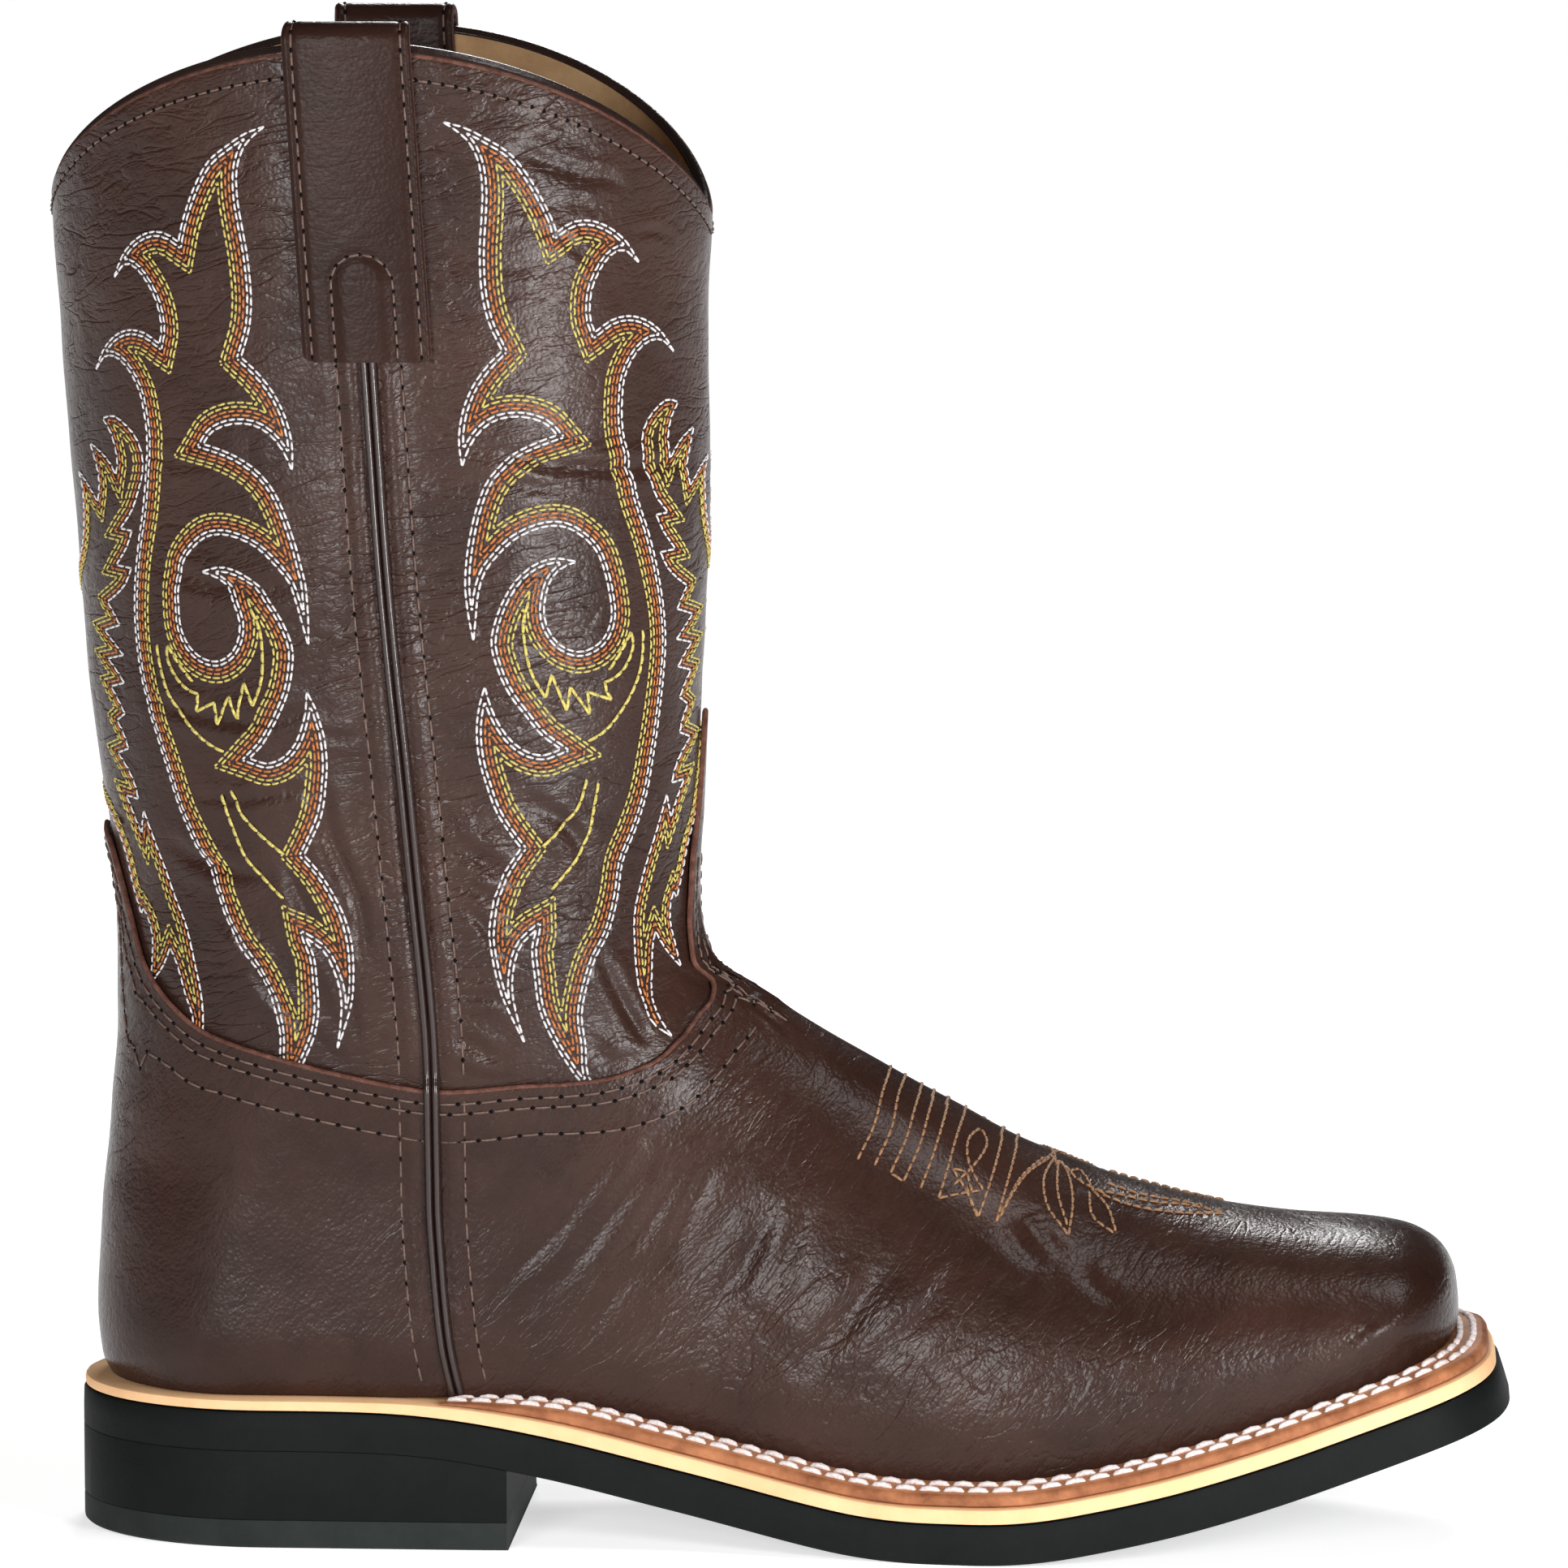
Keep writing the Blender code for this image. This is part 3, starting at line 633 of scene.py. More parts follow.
# Height of the rounded raw edges in half thicknesses
EDGE_HEIGHT = 1.3

# Rows of stitches below the foot upper's top line: distance from it, turn at which a row ends
TOP_ROWS = (
    (0.0022, 0.975),
    (0.0044, 0.965),
    (0.0105, 0.800),
)

# Share of the height at which the collar's row of stitches runs, and how deep the lining's face lies there
COLLAR_ROW = 0.9885
LINING_FACE = 0.00258

# Edge of the insole board from its underside up and in: inset from the skin, height
INSOLE_EDGE = (
    (0.0026, 0.0000),
    (0.0014, 0.0000),
    (0.0014, 0.0022),
    (0.0022, 0.0029),
)

# Section of the folded binding in millimetres, up and outward from the collar's edge: from its inner lip over
# the roll to its underside
BINDING_PROFILE = (
    (0.75, -2.40), (0.72, -2.72), (0.90, -2.98), (1.25, -2.98), (1.48, -2.76), (1.58, -2.56),
    (1.90, -2.44), (2.22, -2.10), (2.45, -1.60), (2.35, -1.15), (2.05, -0.85), (1.70, -0.78),
    (1.45, -0.52), (0.80, -0.36), (0.15, -0.40), (-0.10, -0.80), (-0.10, -1.30), (0.20, -2.00),
)

# Section of one of the piping's two beads: place in half-widths, height in millimetres
PIPING_BEAD = ((0.98, 0.20), (0.86, 0.70), (0.68, 1.15), (0.48, 1.30), (0.28, 1.15), (0.10, 0.70))

# Creases in widths of their own: reach, half-width of the trough, place and half-width of the ridges beside
# it, and the shares of the depth that trough and ridges take
CREASE_REACH = 3.2
TROUGH_WIDTH = 0.5
RIDGE_PLACE = 1.25
RIDGE_WIDTH = 0.75
TROUGH_SHARE = 1.3
RIDGE_SHARE = 0.8

# Shift of the medial side's creases against the lateral side's, and height of the leather's slow unevenness
CREASE_SHIFT = (0.004, -0.005)
SWELL = 0.00030

# Folds of the leather beside the side seams, a soft roll, a groove and the pull of the stitches: height,
# distance from the seam, half-width
SEAM_ROW = 0.0068
SEAM_FOLDS = (
    (0.00050, 0.0040, 0.0016),
    (-0.00045, 0.0020, 0.0008),
    (-0.00030, SEAM_ROW, 0.0009),
)

# Search for the place that a pixel shows: nearest and farthest y, steps between them, halvings of the last
# step, and how far in pixels and how often a pixel just off the boot moves down
SEARCH_NEAR = -0.058
SEARCH_FAR = 0.05
SEARCH_STEPS = 110
SEARCH_HALVINGS = 9
MISS_STEP = 1.5
MISS_TRIES = 7

# Points on half a level section of the leg
HALF_SECTION = 161

# Corner of a stitched row: points before and after it that are looked at, cosine of the turn that makes one
CORNER_REACH = 3
CORNER_COSINE = 0.7

# Step of the points along the rows of the fancy stitching
FANCY_STEP = 0.00035

# Lift of the stitched rows off the leather, and height of a thread's section as a share of its rise
THREAD_LIFT = 0.00005
THREAD_FULLNESS = 0.6

# Thread sizes
FANCY_PITCH = 0.0022
FANCY_WIDTH = 0.00054
FANCY_SPACING = 0.00088
FANCY_GAP = 0.00034
SINGLE_WIDTH = 0.00080
SEAM_PITCH = 0.0044
SEAM_WIDTH = 0.00050
TOE_WIDTH = 0.00070
STRAP_ROW = 0.0021
ARCH_HALF = 0.0063
ARCH_HEIGHT = 0.0225
WELT_PITCH = 0.0052
WELT_THREAD = 0.0016
WELT_RISE = 0.0011
FANCY_RISE = 0.00042
SINGLE_RISE = 0.00055
SINGLE_PITCH = 0.0025
TOE_RISE = 0.00055
TOE_PITCH = 0.0024
SEAM_RISE = 0.00042
COLLAR_PITCH = 0.0028
# Size and backward shift of the painted hole shade, the near-black lens that stands for the shadow in each
# needle hole
HOLE_SIZE = (0.00068, 0.00050, 0.00008)
HOLE_SHIFT = 0.0004

# Stitched flame on one quarter of the shaft, read off the photograph in its pixels: each line is one smooth
# stroke of the outer row, and a corner lies where one stroke ends and the next begins
FLAME = """
545,150 571,157 601,172 628,189 650,216 667,244 679,269 685,286
685,286 701,275 720,271 742,276 767,293 788,324
788,324 765,307 752,314 736,336 728,355 725,375 726,395 731,409
731,409 752,394 775,389 795,394 814,408 831,434
831,434 814,418 799,420 785,432 775,448 768,468 766,490 766,520 774,566 784,608 798,653 810,703 817,748
 819,783 816,836 810,885 803,931 795,980 781,1025 767,1060 761,1103 749,1148 731,1183 721,1218 716,1253
 721,1288 724,1324 738,1348
738,1348 717,1334 696,1306 679,1278 665,1246 658,1201 655,1165 660,1145
660,1145 640,1166 632,1194 631,1225 635,1246 646,1285
646,1285 630,1253 619,1229 609,1194 603,1152 605,1124 616,1088 628,1064 642,1045
642,1045 630,1029 612,1001 600,969 591,938 587,903 590,871 597,846
597,846 602,864 612,888 630,913 648,926 668,931 691,923
691,923 668,906 647,881 626,853 612,822 605,794 612,759 623,734 640,710 658,696 682,688 711,692
711,692 693,699 679,713 672,734 670,759 675,776 689,794 710,803 731,797 745,783 753,759 751,731 745,703
 735,678 717,660 696,649 675,648 651,655 630,667 612,685 598,703 589,731 586,760 583,790
583,790 577,759 573,724 574,696 579,660 586,629 598,597 616,573 640,555 665,543 686,536
686,536 675,524 654,515 633,513 609,518 591,531 577,552 569,575
569,575 565,541 570,506 581,478 598,453 618,432
618,432 601,395 594,365 591,324 591,303 593,269 594,232 588,195 576,173 561,160 545,150
"""

# Single lines inside the flame, each a run of pixels with a corner at every bar
FLAME_LINES = """
651,741 644,766 646,794 654,829 672,860 / 679,831 / 698,876 / 702,846 / 726,880 / 723,852 / 753,862 / 742,843
 760,832 774,811 779,787 776,778 / 765,800 749,825
791,776 791,794 788,822 777,853 760,881 742,902 724,913
723,960 714,990 696,1015 668,1043
737,964 731,997 717,1046 700,1071 679,1096
"""

# Near half of the stitched motif on the front of the shaft, from the centre line round to the centre line
MOTIF = """
874,700 868,638 866,606 866,580 870,559
870,559 861,574 848,598
848,598 845,578 846,559 850,539 853,525
853,525 838,540 829,553 824,565
824,565 821,548 822,535 826,514 835,495
835,495 822,492 808,503 795,522 790,546 792,565 798,585 807,609 822,631
822,631 808,634
808,634 816,653 831,676
831,676 813,680
813,680 822,699 833,711 846,721
846,721 841,733 834,750
834,750 853,756
853,756 843,772 833,787
833,787 852,791
852,791 843,805 835,821
835,821 851,825
851,825 843,843 837,859
837,859 847,867
847,867 840,885 836,902
836,902 849,907
849,907 837,928 830,945 826,964
826,964 841,959
841,959 832,984 825,1007
825,1007 820,978
820,978 813,1005 802,1043 790,1087 783,1119 782,1168 785,1209 793,1236 807,1264 828,1278
828,1278 816,1261 805,1236 803,1204 805,1160 808,1147
808,1147 820,1168 840,1191
840,1191 832,1160 826,1130 827,1110 830,1098
830,1098 834,1106
834,1106 841,1068 846,1036 855,998 862,962
"""

# The back's motif is the front's, turned over: at a height y, the sum of the x of a place of the front and of
# its twin, and how many pixels lower the back's sits
BACK_MOTIF = table(
    "y sum",
    (480, 961),
    (560, 967),
    (634, 970),
    (700, 977),
    (750, 982),
    (821, 989),
    (902, 995),
    (978, 998),
    (1098, 1008),
    (1191, 1028),
    (1278, 1060),
)
BACK_MOTIF_DROP = 20

# Change of the rear flames against the front ones: narrowing for each metre from the side seam, and drop
REAR_NARROWING = 0.9
REAR_DROP = 0.055

# Stitched bars, loop, lattice and leaves on the lateral half of the vamp
TOE_STITCHES = """
1095,1320 1086,1345 1077,1385 1056,1430
1114,1327 1105,1350 1098,1390 1077,1437
1135,1336 1126,1365 1117,1400 1097,1446 / 1113,1456
1150,1343 1142,1375 1133,1410 1113,1456
1167,1352 1160,1385 1150,1420 1134,1465
1188,1367 1176,1405 1167,1440 1156,1477 / 1180,1472 1208,1468
1234,1391 1228,1425 1217,1465 1205,1500 / 1190,1468 1172,1441 / 1191,1446 / 1205,1430 1214,1412 1204,1396
 1192,1405 1190,1425 1197,1445 1211,1468
1175,1461 1190,1446 / 1197,1470
1204,1500 1197,1485 1190,1462
1252,1401 1246,1435 1237,1470 1227,1506
1227,1506 1240,1482 1258,1452 1285,1432 1300,1424
1232,1500 1248,1470 1265,1448 1290,1434
1297,1432 1285,1452 1288,1485 1315,1524
1297,1432 1314,1455 1320,1480 1316,1524
1300,1440 1301,1470 1314,1512
1340,1474 1344,1500 1372,1522
1345,1474 1362,1490 1374,1520
1290,1428 1310,1440 1335,1458 1345,1474
1300,1437 1325,1460 1360,1478
1345,1472 1380,1480 1420,1490 1460,1494 1506,1503
1355,1478 1400,1494 1450,1502 1506,1504
1360,1466 1400,1480 1440,1488 1480,1494
"""

# Creases of the lateral side in pixels: width and depth in millimetres, then the run
CREASES = """
2.6 0.80 600,556 640,562 690,575 740,580 800,575 850,570
2.0 0.50 560,600 610,592 660,600 720,598 780,606
1.6 0.45 500,640 540,625 580,618
2.0 0.50 595,148 622,140 646,140 660,150
2.2 0.60 632,189 654,191 671,201 703,210 724,218 750,219 769,232
1.4 0.35 658,222 691,220 720,232
1.4 0.35 675,254 715,252 745,262
1.6 0.40 660,280 700,300 740,330
1.6 0.40 781,287 805,284 826,293
1.4 0.35 628,282 654,281 680,290
1.6 0.35 620,360 645,358 666,357
1.8 0.35 540,340 560,372 580,395
2.6 0.75 560,1041 586,1054 603,1065 625,1085
2.0 0.55 560,1091 603,1104 630,1122
2.0 0.60 573,1121 595,1139 605,1156 625,1180
1.8 0.45 564,1228 599,1228 630,1240
2.4 0.60 560,1271 582,1288 614,1308
2.2 0.55 560,1321 603,1330 647,1334
2.6 0.70 733,1288 744,1304 777,1312 809,1312 831,1299 844,1271
3.0 0.60 640,985 690,1010 730,1060
2.6 0.55 740,1180 770,1240 800,1290
2.4 0.45 545,985 556,1020 566,1040
3.2 0.80 390,960 410,1040 440,1110 450,1190
2.6 0.60 350,1060 380,1130 420,1200 440,1270
2.4 0.60 300,1180 340,1230 390,1280 430,1330
2.0 0.50 405,1130 420,1170 432,1240 440,1300
2.0 0.50 270,1130 300,1160 330,1200
2.8 0.60 200,700 260,720 330,725 390,715
2.4 0.55 180,860 240,880 320,890 400,870
2.8 0.60 210,1040 270,1070 330,1080
2.0 0.45 240,980 300,985 360,975 420,985
1.8 0.40 180,560 230,575 290,570
1.8 0.40 120,980 150,1010 190,1030
1.6 0.35 390,600 420,590 450,600
1.6 0.35 390,760 425,770 450,765
1.6 0.40 380,900 420,910 450,905
3.6 0.32 760,1420 720,1470 680,1520 640,1560 610,1600
3.6 0.32 800,1430 760,1480 715,1540 670,1600
3.4 0.26 840,1440 800,1500 760,1560
3.4 0.26 880,1430 850,1490 830,1540
3.0 0.22 720,1430 690,1470 655,1510
3.0 0.22 690,1560 660,1590 630,1640
3.0 0.22 790,1560 750,1600 720,1650
3.8 0.32 950,1500 920,1560 880,1610
3.4 0.28 1000,1490 975,1540 950,1580
5.0 0.50 1085,1560 1050,1620 1000,1680
4.0 0.32 1180,1560 1150,1610 1100,1660
2.2 0.80 868,1180 880,1212 905,1232 925,1222
3.2 0.80 855,1250 875,1238 905,1232
1.6 0.45 876,1150 890,1180 900,1205
1.4 0.35 900,1240 930,1250 960,1275
1.4 0.30 930,1240 960,1258 990,1285
4.5 0.60 1240,1508 1262,1540 1290,1560
3.0 0.36 1275,1500 1290,1530 1310,1550
3.0 0.28 1330,1560 1350,1590 1380,1610
"""


def photo_rays(pixels):
    """Return where the camera stands and the directions in which it sees the photograph's pixels."""
    back = np.array([
        math.sin(CAMERA_AZIMUTH) * math.cos(CAMERA_ELEVATION),
        -math.cos(CAMERA_AZIMUTH) * math.cos(CAMERA_ELEVATION),
        math.sin(CAMERA_ELEVATION),
    ])
    right = unit(np.cross([0, 0, 1.0], back))
    above = np.cross(back, right)
    stand = CAMERA_TARGET + [HEEL_LENGTH / 2, 0, 0] + CAMERA_DISTANCE * back
    across = (np.asarray(pixels, dtype=float) - PHOTO_SIZE / 2) / PHOTO_FOCUS
    return stand, across[:, :1] * right - across[:, 1:] * above - back


def within(points, proud):
    """Tell which points lie inside the skin grown by a small thickness."""
    x, y, z = np.moveaxis(points, -1, 0)
    lateral, medial = skin_sides(x, z)
    ahead = np.interp(z, FRONT_REACH[:, 1], FRONT_REACH[:, 0]) + proud
    behind = np.interp(z, BACK_LINE[:, 1], BACK_LINE[:, 0]) - proud
    return (y > lateral - proud) & (y < medial + proud) & (x < ahead) & (x > behind)


def seen_at(pixels, proud=0.0):
    """Return the places of the skin that pixels of the photograph show; those just off it move onto it."""
    pixels = np.array(pixels, dtype=float)
    depth = np.linspace(SEARCH_NEAR, SEARCH_FAR, SEARCH_STEPS)
    stand, rays = photo_rays(pixels)
    inside = np.zeros((len(pixels), len(depth)), dtype=bool)
    missed = np.ones(len(pixels), dtype=bool)
    for _ in range(MISS_TRIES):
        rays[missed] = photo_rays(pixels[missed])[1]
        reach = (depth - stand[1]) / rays[:, 1:2]
        inside[missed] = within(stand + rays[missed, None] * reach[missed, :, None], proud)
        missed = ~inside.any(axis=1)
        if not missed.any():
            break
        pixels[missed, 1] += MISS_STEP
    first = np.maximum(np.argmax(inside, axis=1), 1)
    row = np.arange(len(first))
    outer, inner = reach[row, first - 1], reach[row, first]
    for _ in range(SEARCH_HALVINGS):
        middle = (outer + inner) / 2
        hit = within(stand + rays * middle[:, None], proud)
        outer, inner = np.where(hit, outer, middle), np.where(hit, middle, inner)
    return stand + rays * inner[:, None]


def turns_at(points):
    """Return the turn and share of the skin's places nearest to points."""
    nearest = np.linalg.norm(points[:, None] - VAMP_GRID[:, 2:], axis=-1).argmin(axis=1)
    turn, share = VAMP_GRID[nearest, :2].T
    step = 0.002
    for _ in range(5):
        miss = points - skin(turn, share)
        by_turn = (skin(turn + step, share) - skin(turn - step, share)) / (2 * step)
        by_share = (skin(turn, share + step) - skin(turn, share - step)) / (2 * step)
        tt, ts, ss = (by_turn**2).sum(1), (by_turn * by_share).sum(1), (by_share**2).sum(1)
        mt, ms = (miss * by_turn).sum(1), (miss * by_share).sum(1)
        scale = tt * ss - ts**2
        turn = turn + np.clip((mt * ss - ms * ts) / scale, -0.02, 0.02)
        share = share + np.clip((ms * tt - mt * ts) / scale, -0.02, 0.02)
    return turn, share


def vamp_grid():
    """Return rows of turn, share and point spread over the vamp."""
    turn, share = np.meshgrid(np.linspace(0.5, 1.5, 61), np.linspace(0.02, 0.62, 61))
    return np.column_stack([turn.ravel(), share.ravel(), skin(turn, share).reshape(-1, 3)])


def read_runs(chart):
    """Return each line of a chart as a list of its smooth runs; one that begins with a space goes on."""
    lines = []
    for line in chart.strip("\n").splitlines():
        if line.startswith(" "):
            lines[-1] += line
        else:
            lines.append(line)
    runs = []
    for line in lines:
        pieces = [[[float(n) for n in pair.split(",")] for pair in part.split()] for part in line.split("/")]
        for place in range(1, len(pieces)):
            pieces[place].insert(0, pieces[place - 1][-1])
        runs.append([np.array(piece) for piece in pieces])
    return runs


def smooth_run(points, step):
    """Return evenly spaced points on a smooth curve through a run."""
    chord = arc_length(points)
    along = np.linspace(0, chord[-1], max(2, int(round(chord[-1] / step)) + 1))
    if len(points) == 2:
        return points[0] + (along / chord[-1])[:, None] * (points[1] - points[0])
    slope = np.gradient(points, chord, axis=0, edge_order=1)
    row = np.clip(np.searchsorted(chord, along) - 1, 0, len(points) - 2)
    run = (chord[row + 1] - chord[row])[:, None]
    share = ((along - chord[row]) / run[:, 0])[:, None]
    return (
        (2 * share**3 - 3 * share**2 + 1) * points[row]
        + (share**3 - 2 * share**2 + share) * run * slope[row]
        + (3 * share**2 - 2 * share**3) * points[row + 1]
        + (share**3 - share**2) * run * slope[row + 1]
    )


class Sections:
    """Level sections of the skin round the leg, which turn a place along the girth into a place in space."""

    def __init__(self, low, high, count):
        self.levels = np.linspace(low, high, count)
        self.rings = []
        self.arcs = []
        self.anchors = {"back": [], "lateral": [], "front": [], "medial": []}
        for level in self.levels:
            back = np.interp(level, BACK_LINE[:, 1], BACK_LINE[:, 0])
            front = np.interp(level, FRONT_REACH[:, 1], FRONT_REACH[:, 0])
            across = (1 - np.cos(np.linspace(0, np.pi, HALF_SECTION))) / 2
            x = back + (front - back) * across
            lateral, medial = skin_sides(x, np.full(x.shape, level))
            for side in (lateral, medial):
                side[[0, -1]] = 0
            ring = np.stack([np.append(x, x[-2::-1]), np.append(lateral, medial[-2::-1])], axis=1)
            arc = arc_length(ring)
            seam = float(seam_x(level))
            self.rings.append(ring)
            self.arcs.append(arc)
            self.anchors["back"].append(0.0)
            self.anchors["lateral"].append(np.interp(seam, x, arc[:HALF_SECTION]))
            self.anchors["front"].append(arc[HALF_SECTION - 1])
            self.anchors["medial"].append(np.interp(seam, x, arc[HALF_SECTION - 1:][::-1]))

    def rows(self, z):
        """Return the section below each height, and the share of the way to the next one."""
        place = (np.asarray(z) - self.levels[0]) / (self.levels[1] - self.levels[0])
        row = np.clip(place.astype(int), 0, len(self.levels) - 2)
        return row, place - row

    def mix(self, z, columns, read):
        """Return values at heights, mixed from those that a function reads off the sections around each."""
        row, share = self.rows(z)
        value = np.zeros((len(row), columns))
        for step, weight in ((0, 1 - share), (1, share)):
            for section in np.unique(row):
                chosen = row == section
                value[chosen] += weight[chosen, None] * read(section + step, chosen)
        return value

    def girth(self, x, z, anchor):
        """Return the way along the girth from an anchor line to lateral places."""

        def read(section, chosen):
            ring, arc = self.rings[section][:HALF_SECTION], self.arcs[section][:HALF_SECTION]
            return (np.interp(x[chosen], ring[:, 0], arc) - self.anchors[anchor][section])[:, None]

        return self.mix(z, 1, read)[:, 0]

    def point(self, anchor, girth, z):
        """Return points of the skin at ways along the girth from an anchor line, and at heights."""

        def read(section, chosen):
            arc = self.arcs[section]
            way = np.mod(self.anchors[anchor][section] + girth[chosen], arc[-1])
            return places_along(way, arc, self.rings[section])

        return np.column_stack([self.mix(z, 2, read), z])

    def place(self, anchor, girth, z):
        """Return points of the skin as point does, and the skin's outward direction at them."""
        step = 0.0008
        round_leg = self.point(anchor, girth + step, z) - self.point(anchor, girth - step, z)
        up_leg = self.point(anchor, girth, z + step) - self.point(anchor, girth, z - step)
        return self.point(anchor, girth, z), unit(np.cross(round_leg, up_leg))


def crease_lines():
    """Return the creases as width, depth and points on the skin, the medial ones moved from the lateral."""
    lines = []
    for run in CREASES.strip().splitlines():
        width, depth, *pairs = run.split()
        pixels = np.array([[float(n) for n in pair.split(",")] for pair in pairs])
        place = smooth_run(seen_at(pixels), 0.002)
        x, z = place[:, 0] + CREASE_SHIFT[0], place[:, 2] + CREASE_SHIFT[1]
        mirrored = np.stack([x, skin_sides(x, z)[1], z], axis=1)
        for points in (place, mirrored):
            lines.append((float(width) / 1000, float(depth) / 1000, points))
    return lines


def crease_offset(points):
    """Return how far the creases push points of the skin out or in."""
    flat = points.reshape(-1, 3)
    offset = np.zeros(len(flat))
    for width, depth, line in CREASE_LINES:
        reach = CREASE_REACH * width
        low, high = line.min(axis=0) - reach, line.max(axis=0) + reach
        near = np.flatnonzero(((flat > low) & (flat < high)).all(axis=1))
        if not len(near):
            continue
        away = np.linalg.norm(flat[near][:, None] - line, axis=-1)
        along = away.argmin(axis=1) / (len(line) - 1)
        away = away.min(axis=1)
        taper = np.sin(np.pi * np.clip(along, 0.02, 0.98)) ** 0.6
        trough = -TROUGH_SHARE * bell(away, TROUGH_WIDTH * width)
        ridges = RIDGE_SHARE * bell(away - RIDGE_PLACE * width, RIDGE_WIDTH * width)
        offset[near] += depth * taper * (trough + ridges)
    return offset.reshape(points.shape[:-1])


def swell(points):
    """Return the slow hand-lasted unevenness of the leather at points of the skin."""
    x, y, z = np.moveaxis(points, -1, 0)
    waves = (
        np.sin(41 * x + 23 * z + 60 * y) * np.sin(67 * z - 31 * x)
        + 0.6 * np.sin(95 * z + 47 * x + 3) * np.sin(83 * x + 70 * y + 1)
        + 0.35 * np.sin(170 * z - 120 * x + 2) * np.sin(150 * x + 110 * z)
    )
    return SWELL * waves


def seam_relief(points):
    """Return the fold of the leather beside the side seams: a soft roll, a groove and the stitches' pull."""
    x, _, z = np.moveaxis(points, -1, 0)
    away = np.abs(x - seam_x(z))
    return sum(height * bell(away - place, width) for height, place, width in SEAM_FOLDS)


def relief(points):
    """Return how far the leather stands out of the skin or sinks into it."""
    return crease_offset(points) + swell(points) + seam_relief(points)


def leather_offset(points, share, edge):
    """Return the leather's relief, faded out near its upper or lower edge."""
    return relief(points) * ramp(np.abs(share - edge), 0.004, 0.05)


def even_turns(count, share):
    """Return turns that are evenly spaced round the boot at a share of its height."""
    turn = np.linspace(0, 2, 1601)
    ring = skin(turn, np.full(turn.shape, share))
    arc = arc_length(ring)
    blend = 0.35 * turn / 2 + 0.65 * arc / arc[-1]
    return np.interp(np.arange(count) / count, blend, turn)


def skin_grid(turn, shares):
    """Return points of the skin at turns, a column for each, and at shares, a row for each."""
    return skin(np.broadcast_to(turn, shares.shape), shares)


def grid_normals(points):
    """Return outward directions of a grid of points, as rows going up and columns going round."""
    up_leg = np.gradient(points, axis=0)
    round_leg = (np.roll(points, -1, axis=1) - np.roll(points, 1, axis=1)) / 2
    return unit(np.cross(round_leg, up_leg))


def normals_on_sole(points):
    """Return outward directions of a grid whose lowest row stands on the sole and so looks level outward."""
    normal = grid_normals(points)
    normal[0, :, 2] = 0
    return unit(normal)


def add_piece(name, points, faces, materials, replaces=(), parts=None, sharp=40):
    """Add a mesh in the frame's place, and hide the frame's nodes that it stands for."""
    mesh = bpy.data.meshes.new(name)
    placed = np.asarray(points, dtype=float).reshape(-1, 3) - [HEEL_LENGTH / 2, 0, 0]
    mesh.from_pydata(placed.tolist(), [], faces)
    if parts is not None:
        mesh.polygons.foreach_set("material_index", np.asarray(parts, dtype=np.int32))
    mesh.update()
    mesh.shade_smooth()
    if sharp:
        mesh.set_sharp_from_angle(angle=math.radians(sharp))
    for finish in materials:
        mesh.materials.append(finish)
    piece = bpy.data.objects.new(name, mesh)
    bpy.context.scene.collection.objects.link(piece)
    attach(piece, "root")
    if replaces:
        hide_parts(*replaces)


def ring_faces(rows, columns, closed_rows):
    """Return the quads of a grid whose columns close on themselves, and whose rows may too."""
    row, column = np.meshgrid(np.arange(rows if closed_rows else rows - 1), np.arange(columns), indexing="ij")
    after, above = (column + 1) % columns, (row + 1) % rows
    quads = np.stack([row * columns + column, row * columns + after, above * columns + after,
                      above * columns + column], axis=-1)
    return quads.reshape(-1, 4)


def leather_shell(name, outer, inner, edge_rows, materials, replaces):
    """Make a closed wall of leather: its outer rows, its rolled top edge and its inner rows."""
    grid = np.concatenate([outer, edge_rows, inner[::-1]])
    rows, columns = grid.shape[:2]
    faces = ring_faces(rows, columns, True)
    parts = np.zeros((rows, columns), dtype=int)
    parts[len(outer) - 1: len(outer) + len(edge_rows)] = len(materials) - 1
    add_piece(name, grid, faces.tolist(), materials, replaces, parts.ravel(), 0)


def rolled_edge(outer, inner, normal, count):
    """Return rows that join the top of an outer face to the top of an inner one with a round edge."""
    upward = unit(outer[-1] - outer[-3])
    middle = (outer[-1] + inner[-1]) / 2
    half = np.linalg.norm(outer[-1] - inner[-1], axis=-1)[:, None] / 2
    rows = []
    for angle in np.linspace(0, np.pi, count + 2)[1:-1]:
        rows.append(middle + half * (math.cos(angle) * normal[-1] + EDGE_HEIGHT * math.sin(angle) * upward))
    return np.array(rows)


def build_upper():
    """Make the foot upper, vamp and counter, with the raw edge along its top line."""
    turn = even_turns(SKIN_COLUMNS, 0.12)
    top = top_line(turn)
    climb = np.linspace(0, 1, OUTER_ROWS)[:, None] ** 1.12
    shares = climb * top
    points = skin_grid(turn, shares)
    normal = normals_on_sole(points)
    thickness = UPPER_PROUD + leather_offset(points, shares, top) * ramp(shares, 0, 0.05)
    outer = points + normal * thickness[..., None]
    low = np.minimum(top - LAP_SHARE, LAP_TOP) - CLEAR_SHARE
    steps = np.linspace(0, 1, INNER_ROWS)[:, None]
    inner_shares = np.concatenate([steps * low, low + (0.25 + 0.75 * steps) * (top - low)])
    inner_points = skin_grid(turn, inner_shares)
    out = np.where(inner_shares <= low + 0.2 * (top - low), -0.0001, GAP)
    inner = inner_points + normals_on_sole(inner_points) * out[..., None]
    edge = rolled_edge(outer, inner, normal, 4)
    leather_shell(
        "upper_leather", outer, inner, edge, [VAMP_LEATHER, RAW_EDGE], ["upper"]
    )


